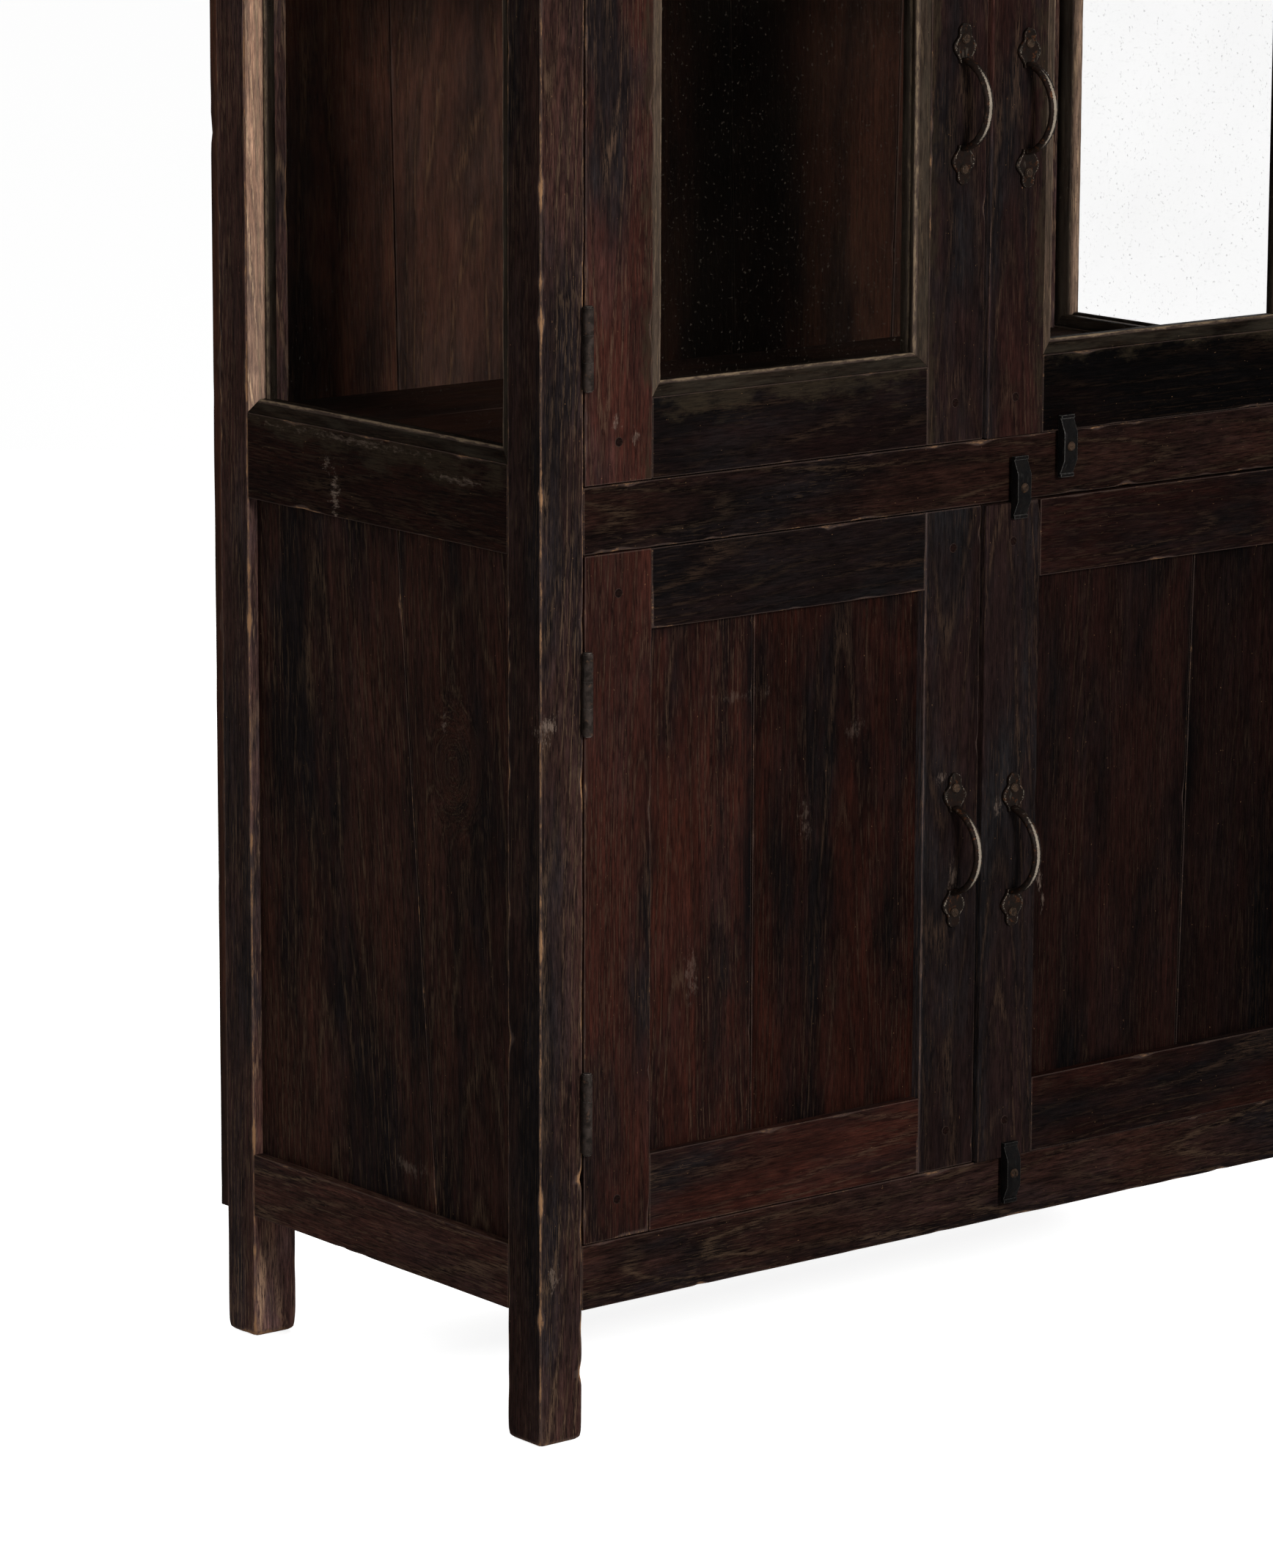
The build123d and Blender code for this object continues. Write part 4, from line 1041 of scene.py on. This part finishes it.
print(len(beads), "beads on the sides,", len(ring), "on each upper door")

# %% [markdown]
# ## Forged iron
# The handles are hammered from bar: a strap drawn into an arch, whose ends spread into plates with
# two lobes and a rounded tip. A smith leaves facets and a thick rim, and hands polish the crown of
# the arch. So the material is black oxide with bright metal on the ridges and rust in the corners,
# and the forms are worked out as sections carried along a line. Oxide is no metal, so the shader is
# metallic only in part, and its gloss is kept low against the white surround.

# %% Iron
iron_scales = {  # features in a metre, and the size of one in millimetres
    "blotches": (110, 110, 110, 4, 0.6),  # 9: thick and thin oxide
    "grit": (700, 700, 700, 2, 0.5),  # 1.4: grains of the surface
    "rubs": (240, 240, 60, 3, 0.5),  # 4 by 17: places rubbed bare
    "rust": (170, 170, 170, 3, 0.7),  # 6: spots of rust
    "dents": (260, 260, 200, 3, 0.6),  # 4: hammer marks
}


def forged_iron(name, coat, scale, bright, rust, polish, rough, metal=0.35):
    """Oxide over iron with rust, read in Object coordinates.

    `coat` and `scale` are the thin and the thick oxide, `bright` is bare metal, and `polish` is how
    much of it shows where `edge` is 1. `metal` is the shader's metallic share."""
    material, tree, shader = new_material(name)
    place = add(tree, "TexCoord", output=3)
    blotches, grit, rubs, spots, dents = (pattern(tree, place, iron_scales[key]) for key in iron_scales)
    edge = add(tree, "Attribute", output=2, attribute_name="edge")
    ridge = add(tree, "Math", (edge, grit), operation="ADD")
    ridge = add(tree, "MapRange", (ridge, 1.2, 1.65), **smooth)
    rubs = add(tree, "MapRange", (rubs, 0.6, 0.72), **smooth)
    rubs = add(tree, "Math", (rubs, 0.12), **product)
    bare = add(tree, "Math", (rubs, ridge), operation="MAXIMUM")
    thick = add(tree, "MapRange", (blotches, 0.38, 0.62), **smooth)
    colour = add(tree, "Mix", {0: thick, 6: linear(coat), 7: linear(scale)}, **as_colour)
    spots = add(tree, "MapRange", (spots, 0.56, 0.7), **smooth)
    spots = add(tree, "Math", (spots, 0.7), **product)
    colour = add(tree, "Mix", {0: spots, 6: colour, 7: linear(rust)}, **as_colour)
    shine = add(tree, "Math", (bare, polish), **product)
    colour = add(tree, "Mix", {0: shine, 6: colour, 7: linear(bright)}, **as_colour)
    tree.links.new(colour, shader.inputs["Base Color"])
    shader.inputs["Metallic"].default_value = metal
    shader.inputs["Specular IOR Level"].default_value = 0.04
    roughness = add(tree, "MapRange", (bare, 0, 1, rough + 0.06, rough - 0.2))
    tree.links.new(roughness, shader.inputs["Roughness"])
    bump = add(tree, "Bump", {"Strength": 0.6, "Distance": 0.0012, "Height": dents})
    tree.links.new(bump, shader.inputs["Normal"])
    return material


handle_iron = forged_iron("forged_iron_handles", "#1b120e", "#17120f", "#b5a795", "#4c2d1a", 0.6, 0.4)
button_iron = forged_iron(
    "forged_iron_buttons", "#070606", "#0d0b0a", "#b4b0aa", "#120d0b", 0.12, 0.45, metal=0.1
)
hinge_iron = forged_iron("wrought_iron_hinges", "#352d29", "#1f1a17", "#8d857d", "#4d3a2e", 0.45, 0.6)
screw_iron = forged_iron("iron_screws", "#3d2f25", "#221a15", "#9a8772", "#5e4029", 0.4, 0.5)
print("four kinds of iron")

# %% [markdown]
# ## Old window glass
# A flat pane hardly bends what is behind it, and it is seen by its dust. A refracting solid would be
# slow and noisy for no gain, so the material is a thin film of dust, nearly clear where the alpha is
# near 0, with specks that cover more. Soda glass has an IOR of 1.5, and the dust makes its gloss a
# little rough.

# %% Glass
glass_scales = {"film": (5, 5, 5, 4, 0.6), "specks": (330, 330, 330, 1, 0.5)}  # 200 mm and 3 mm
glass, tree, shader = new_material("window_glass_dusty")
place = add(tree, "TexCoord", output=3)
film = add(tree, "MapRange", (pattern(tree, place, glass_scales["film"]), 0.35, 0.75), **smooth)
film = add(tree, "Math", (film, 0.012, 0.006), **multiply_add)
specks = add(tree, "MapRange", (pattern(tree, place, glass_scales["specks"]), 0.70, 0.76), **smooth)
specks = add(tree, "Math", (specks, 0.35), **product)
cover = add(tree, "Math", (specks, film), operation="ADD")
tree.links.new(cover, shader.inputs["Alpha"])
shader.inputs["Base Color"].default_value = linear("#3a332b")
shader.inputs["Roughness"].default_value = 0.12
shader.inputs["IOR"].default_value = 1.5
print("glass ready")

# %% The arch of a handle
plain_tone = (0.5, 0.5, 0.5)  # iron doesn't read it
arch_rise, arch_radius = 37.0, 42.65  # the crown stands this far from the face, on this circle


def strap(x, face, z, turn, wide, thick):
    """The arch: a bar hammered nearly round, a superellipse of power 2.5, carried round a circle.

    At each angle of `turn` its middle is at (arch_rise - arch_radius) + arch_radius cos(turn) from
    the face, and at arch_radius sin(turn) over the middle of the handle."""
    around = np.linspace(0, 2 * np.pi, 28, endpoint=False)
    c, s = np.cos(around), np.sin(around)
    a, b = np.sign(c) * np.abs(c) ** 0.8, np.sign(s) * np.abs(s) ** 0.8
    radius = arch_radius + b * thick[:, None] / 2
    px = np.broadcast_to(x + a * wide[:, None] / 2, radius.shape)
    py = face - (arch_rise - arch_radius + radius * np.cos(turn)[:, None])
    pz = z + radius * np.sin(turn)[:, None]
    rubbed = np.clip(np.cos(turn * 1.05), 0, 1)[:, None]
    crown = np.exp(-((a / 0.5) ** 2)) * (b > 0) * rubbed * 1.5
    points = np.stack([px, py, pz], -1)
    return closed_shape(points, points / 1000, plain_tone, crown)


print("the crown stands", arch_rise, "mm from the door")

# %% The plates of a handle
plate_outline = np.array([  # distance from the middle of the handle, half width
    (39, 6.5), (42, 6.6), (46, 9.6), (50, 13.0), (54, 14.5), (58, 13.6), (61.5, 10.8),
    (64, 8.0), (66, 7.4), (69, 7.9), (72, 7.4), (74.5, 5.6), (76, 3.4), (76.9, 0.6),
])
plate_section = np.array([  # share of the half width, share of the thickness, with a raised rim
    (-1, 0), (-1, 0.62), (-0.93, 0.97), (-0.8, 1.0), (-0.55, 0.86), (-0.25, 0.8), (0, 0.78),
    (0.25, 0.8), (0.55, 0.86), (0.8, 1.0), (0.93, 0.97), (1, 0.62), (1, 0), (0.5, 0), (0, 0), (-0.5, 0),
])
plate_thickness = 3.4


def plate(x, face, z, sign):
    """A plate: its half width is read along the outline, and its face is a low dome with a rim.

    A mean of five neighbours softens the outline. The thickness falls as a square root in the last
    2.5 mm of the tip."""
    h = np.linspace(plate_outline[0, 0], plate_outline[-1, 0], 60)
    w = np.interp(h, plate_outline[:, 0], plate_outline[:, 1])
    w[2:-2] = (w[:-4] + w[1:-3] + w[2:-2] + w[3:-1] + w[4:]) / 5
    a, top = plate_section.T
    end = np.clip((h[-1] - h) / 2.5, 0.15, 1) ** 0.5
    px = x + a * w[:, None]
    py = face - plate_thickness * top * end[:, None]
    pz = np.broadcast_to((z + sign * h)[:, None], px.shape)
    on_rim = np.abs(np.abs(a) - 0.87) < 0.09
    rim = np.broadcast_to(np.where(on_rim, 0.75, 0.05) * (top > 0), px.shape)
    points = np.stack([px, py, pz], -1)
    shape = closed_shape(points, points / 1000, plain_tone, rim)
    return turned_out(shape) if sign > 0 else shape


print("a plate is", round(np.ptp(plate_outline[:, 0]), 1), "mm long")

# %% Handles
turn = np.linspace(-1.36, 1.36, 56)
wide = 11.6 - 1.8 * np.cos(turn) + 0.3 * np.sin(turn * 23)  # with the facets of the hammer
thick = 5.7 + 0.15 * np.sin(turn * 31 + 1)
for name in door_names:
    x, y, z = box(f"{name}_handle")
    face = box(f"{name}_hinge_stile")[1][0]
    middle_x, middle_z = sum(x) / 2, sum(z) / 2
    arch = strap(middle_x, face, middle_z, turn, wide, thick)
    plates = [plate(middle_x, face, middle_z, sign) for sign in (-1, 1)]
    make_piece(f"{name}_handle_iron", [arch] + plates, handle_iron, f"{name}_handle")
print("handles", [round(v) for v in box("upper_left_door_handle")[2]])

# %% [markdown]
# ## Hinges, screws and turn buttons
# These are exact in the solids already, down to the slots of the screws. Only their edges are too
# sharp for worn iron, so each is copied from its solid and softened by a bevel, which is less work
# than drawing them again. The panes are flat and clean at the edge, so they keep their solids.

# %% Ironwork taken from the solids
sharp_angle = math.radians(38)
button_soft, hinge_soft, screw_soft = 0.0009, 0.0004, 0.0003  # widths of the bevels, in metres


def from_solid(node, finish, width):
    """A copy of a CAD mesh: doubles merged, flat faces joined, and its edges softened by a bevel.

    The narrow faces that the bevel makes carry `edge` = 1, so the finish can polish them."""
    shape = bmesh.new()
    shape.from_mesh(frame["nodes"][node].data)
    bmesh.ops.remove_doubles(shape, verts=shape.verts, dist=2e-6)
    flat = math.radians(1)
    bmesh.ops.dissolve_limit(shape, angle_limit=flat, verts=shape.verts, edges=shape.edges)
    edge = shape.faces.layers.float.new("edge")
    sharp = [e for e in shape.edges if len(e.link_faces) == 2 and e.calc_face_angle(0) > sharp_angle]
    cut = {"segments": 2, "profile": 0.6, "affect": "EDGES", "clamp_overlap": True}
    for face in bmesh.ops.bevel(shape, geom=sharp, offset=width, **cut)["faces"]:
        face[edge] = 1.0
    for face in shape.faces:
        face.smooth = True
    mesh = bpy.data.meshes.new(f"{node}_iron")
    shape.to_mesh(mesh)
    shape.free()
    mesh.set_sharp_from_angle(angle=sharp_angle)
    mesh.materials.append(finish)
    stand_for(node, f"{node}_iron", mesh)


buttons = [node for node in frame["nodes"] if node.endswith("turn_button")]
leaves = [node for node in frame["nodes"] if node.endswith("hinge_leaves")]
screws = [node for node in frame["nodes"] if node.endswith("screws")]
for nodes, finish, width in (
    (buttons, button_iron, button_soft),
    (leaves + ["hinge_pins"], hinge_iron, hinge_soft),
    (screws, screw_iron, screw_soft),
):
    for node in nodes:
        from_solid(node, finish, width)
print(len(buttons), "turn buttons,", len(leaves), "sets of leaves,", len(screws), "sets of screws")

# %% Panes
for node, obj in frame["nodes"].items():
    if "glass" in node:
        obj.data.materials.clear()
        obj.data.materials.append(glass)
        print(node, "keeps its solid")

# %% [markdown]
# ## Camera, floor and light
# The camera stands to the left of the cabinet and looks down on it a little. A plain floor and a
# white surround keep the background clean. Three soft lamps light it: a strong one in front, a weak
# one for the left side, so the two faces of each post part clearly, and a broad one behind for the
# back. The surround adds a little light from everywhere. To the camera it is plain white, which
# comes from its colour and not from more light on the cabinet.

# %% Camera
azimuth, fall, roll = math.radians(-38.7189), math.radians(11.6543), math.radians(0.1897)
camera_place = (-4.0777, -4.7916, 1.8283)  # metres
focal_length, sensor_width, farthest = 146.95, 36.0, 100.0
level = math.cos(fall)
sight = np.array([-math.sin(azimuth) * level, math.cos(azimuth) * level, -math.sin(fall)])
right = np.array([math.cos(azimuth), math.sin(azimuth), 0.0])
up = np.cross(right, sight)
c, s = math.cos(roll), math.sin(roll)
right, up = c * right + s * up, c * up - s * right
matrix = np.eye(4)
matrix[:3] = np.stack([right, up, -sight, camera_place], -1)
camera = bpy.data.objects.new("camera", bpy.data.cameras.new("camera"))
camera.data.lens, camera.data.sensor_width = focal_length, sensor_width
camera.data.clip_end = farthest
camera.matrix_world = Matrix(matrix.tolist())
bpy.context.scene.collection.objects.link(camera)
bpy.context.scene.camera = camera
print("the camera looks along", sight.round(3))

# %% Surround
def seen_directly(tree):
    """1 for a ray from the camera, from a reflection or through glass, and 0 for one that lights."""
    ray = add(tree, "LightPath").node.outputs
    seen = (ray["Is Camera Ray"], ray["Is Glossy Ray"])
    most = add(tree, "Math", seen, operation="MAXIMUM")
    return add(tree, "Math", (most, ray["Is Transmission Ray"]), operation="MAXIMUM")


surround_light = 0.13
world = bpy.data.worlds.new("surround")
world.use_nodes = True
tree = world.node_tree
tree.nodes.clear()
white = add(tree, "Background", ((1, 1, 1, 1), 1.0))
fill = add(tree, "Background", ((1, 1, 1, 1), surround_light))
both = add(tree, "MixShader", (seen_directly(tree), fill, white))
tree.links.new(both, tree.nodes.new("ShaderNodeOutputWorld").inputs[0])
bpy.context.scene.world = world
print("the surround is white to the camera and gives", surround_light, "of that as light")

# %% Floor
floor_reach = 30.0  # metres
floor_grey, floor_glow = 0.92, 0.86  # the glow is seen by the camera alone and hides the horizon
floor_paint, tree, shader = new_material("pale_floor")
shader.inputs["Base Color"].default_value = (floor_grey, floor_grey, floor_grey, 1)
shader.inputs["Roughness"].default_value = 0.9
shader.inputs["Specular IOR Level"].default_value = 0.0
strength = add(tree, "Math", (add(tree, "LightPath"), floor_glow), **product)
glow = add(tree, "Emission", ((1, 1, 1, 1), strength))
both = add(tree, "AddShader", (shader.outputs[0], glow))
tree.links.new(both, tree.nodes["Material Output"].inputs[0])
corners = [(x * floor_reach, y * floor_reach, 0) for x, y in ((-1, -1), (1, -1), (1, 1), (-1, 1))]
sheet = bpy.data.meshes.new("floor")
sheet.from_pydata(corners, [], [(0, 1, 2, 3)])
sheet.materials.append(floor_paint)
floor = bpy.data.objects.new("floor", sheet)
bpy.context.scene.collection.objects.link(floor)
print("the floor is", 2 * floor_reach, "m wide")

# %% Lamps
soft_lamps = (  # name, place, the point it faces, side of its square, all in metres, and watts
    ("soft_front_lamp", (-0.8, -3.9, 2.1), (-0.3, -0.24, 0.8), 0.9, 145),
    ("soft_left_lamp", (-2.2, 1.1, 1.6), (-0.54, 0.0, 0.8), 0.9, 13),
    ("soft_back_lamp", (3.2, 3.0, 2.6), (0.3, 0.2, 0.9), 2.2, 120),
)
for name, place, target, size, power in soft_lamps:
    lamp = bpy.data.objects.new(name, bpy.data.lights.new(name, "AREA"))
    lamp.data.size, lamp.data.energy = size, power
    towards = np.array(target) - place
    towards /= np.linalg.norm(towards)
    side = np.cross(towards, (0, 0, 1))
    side /= np.linalg.norm(side)
    matrix = np.eye(4)
    matrix[:3] = np.stack([side, np.cross(side, towards), -towards, place], -1)
    lamp.matrix_world = Matrix(matrix.tolist())
    bpy.context.scene.collection.objects.link(lamp)
bpy.context.scene.view_settings.view_transform = "Standard"
print(len(soft_lamps), "soft lamps")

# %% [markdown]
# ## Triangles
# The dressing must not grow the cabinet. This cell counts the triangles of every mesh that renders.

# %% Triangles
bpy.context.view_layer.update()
seen = [o.data for o in bpy.data.objects if o.type == "MESH" and not o.hide_render]
print(sum(len(m.loops) - 2 * len(m.polygons) for m in seen), "triangles")
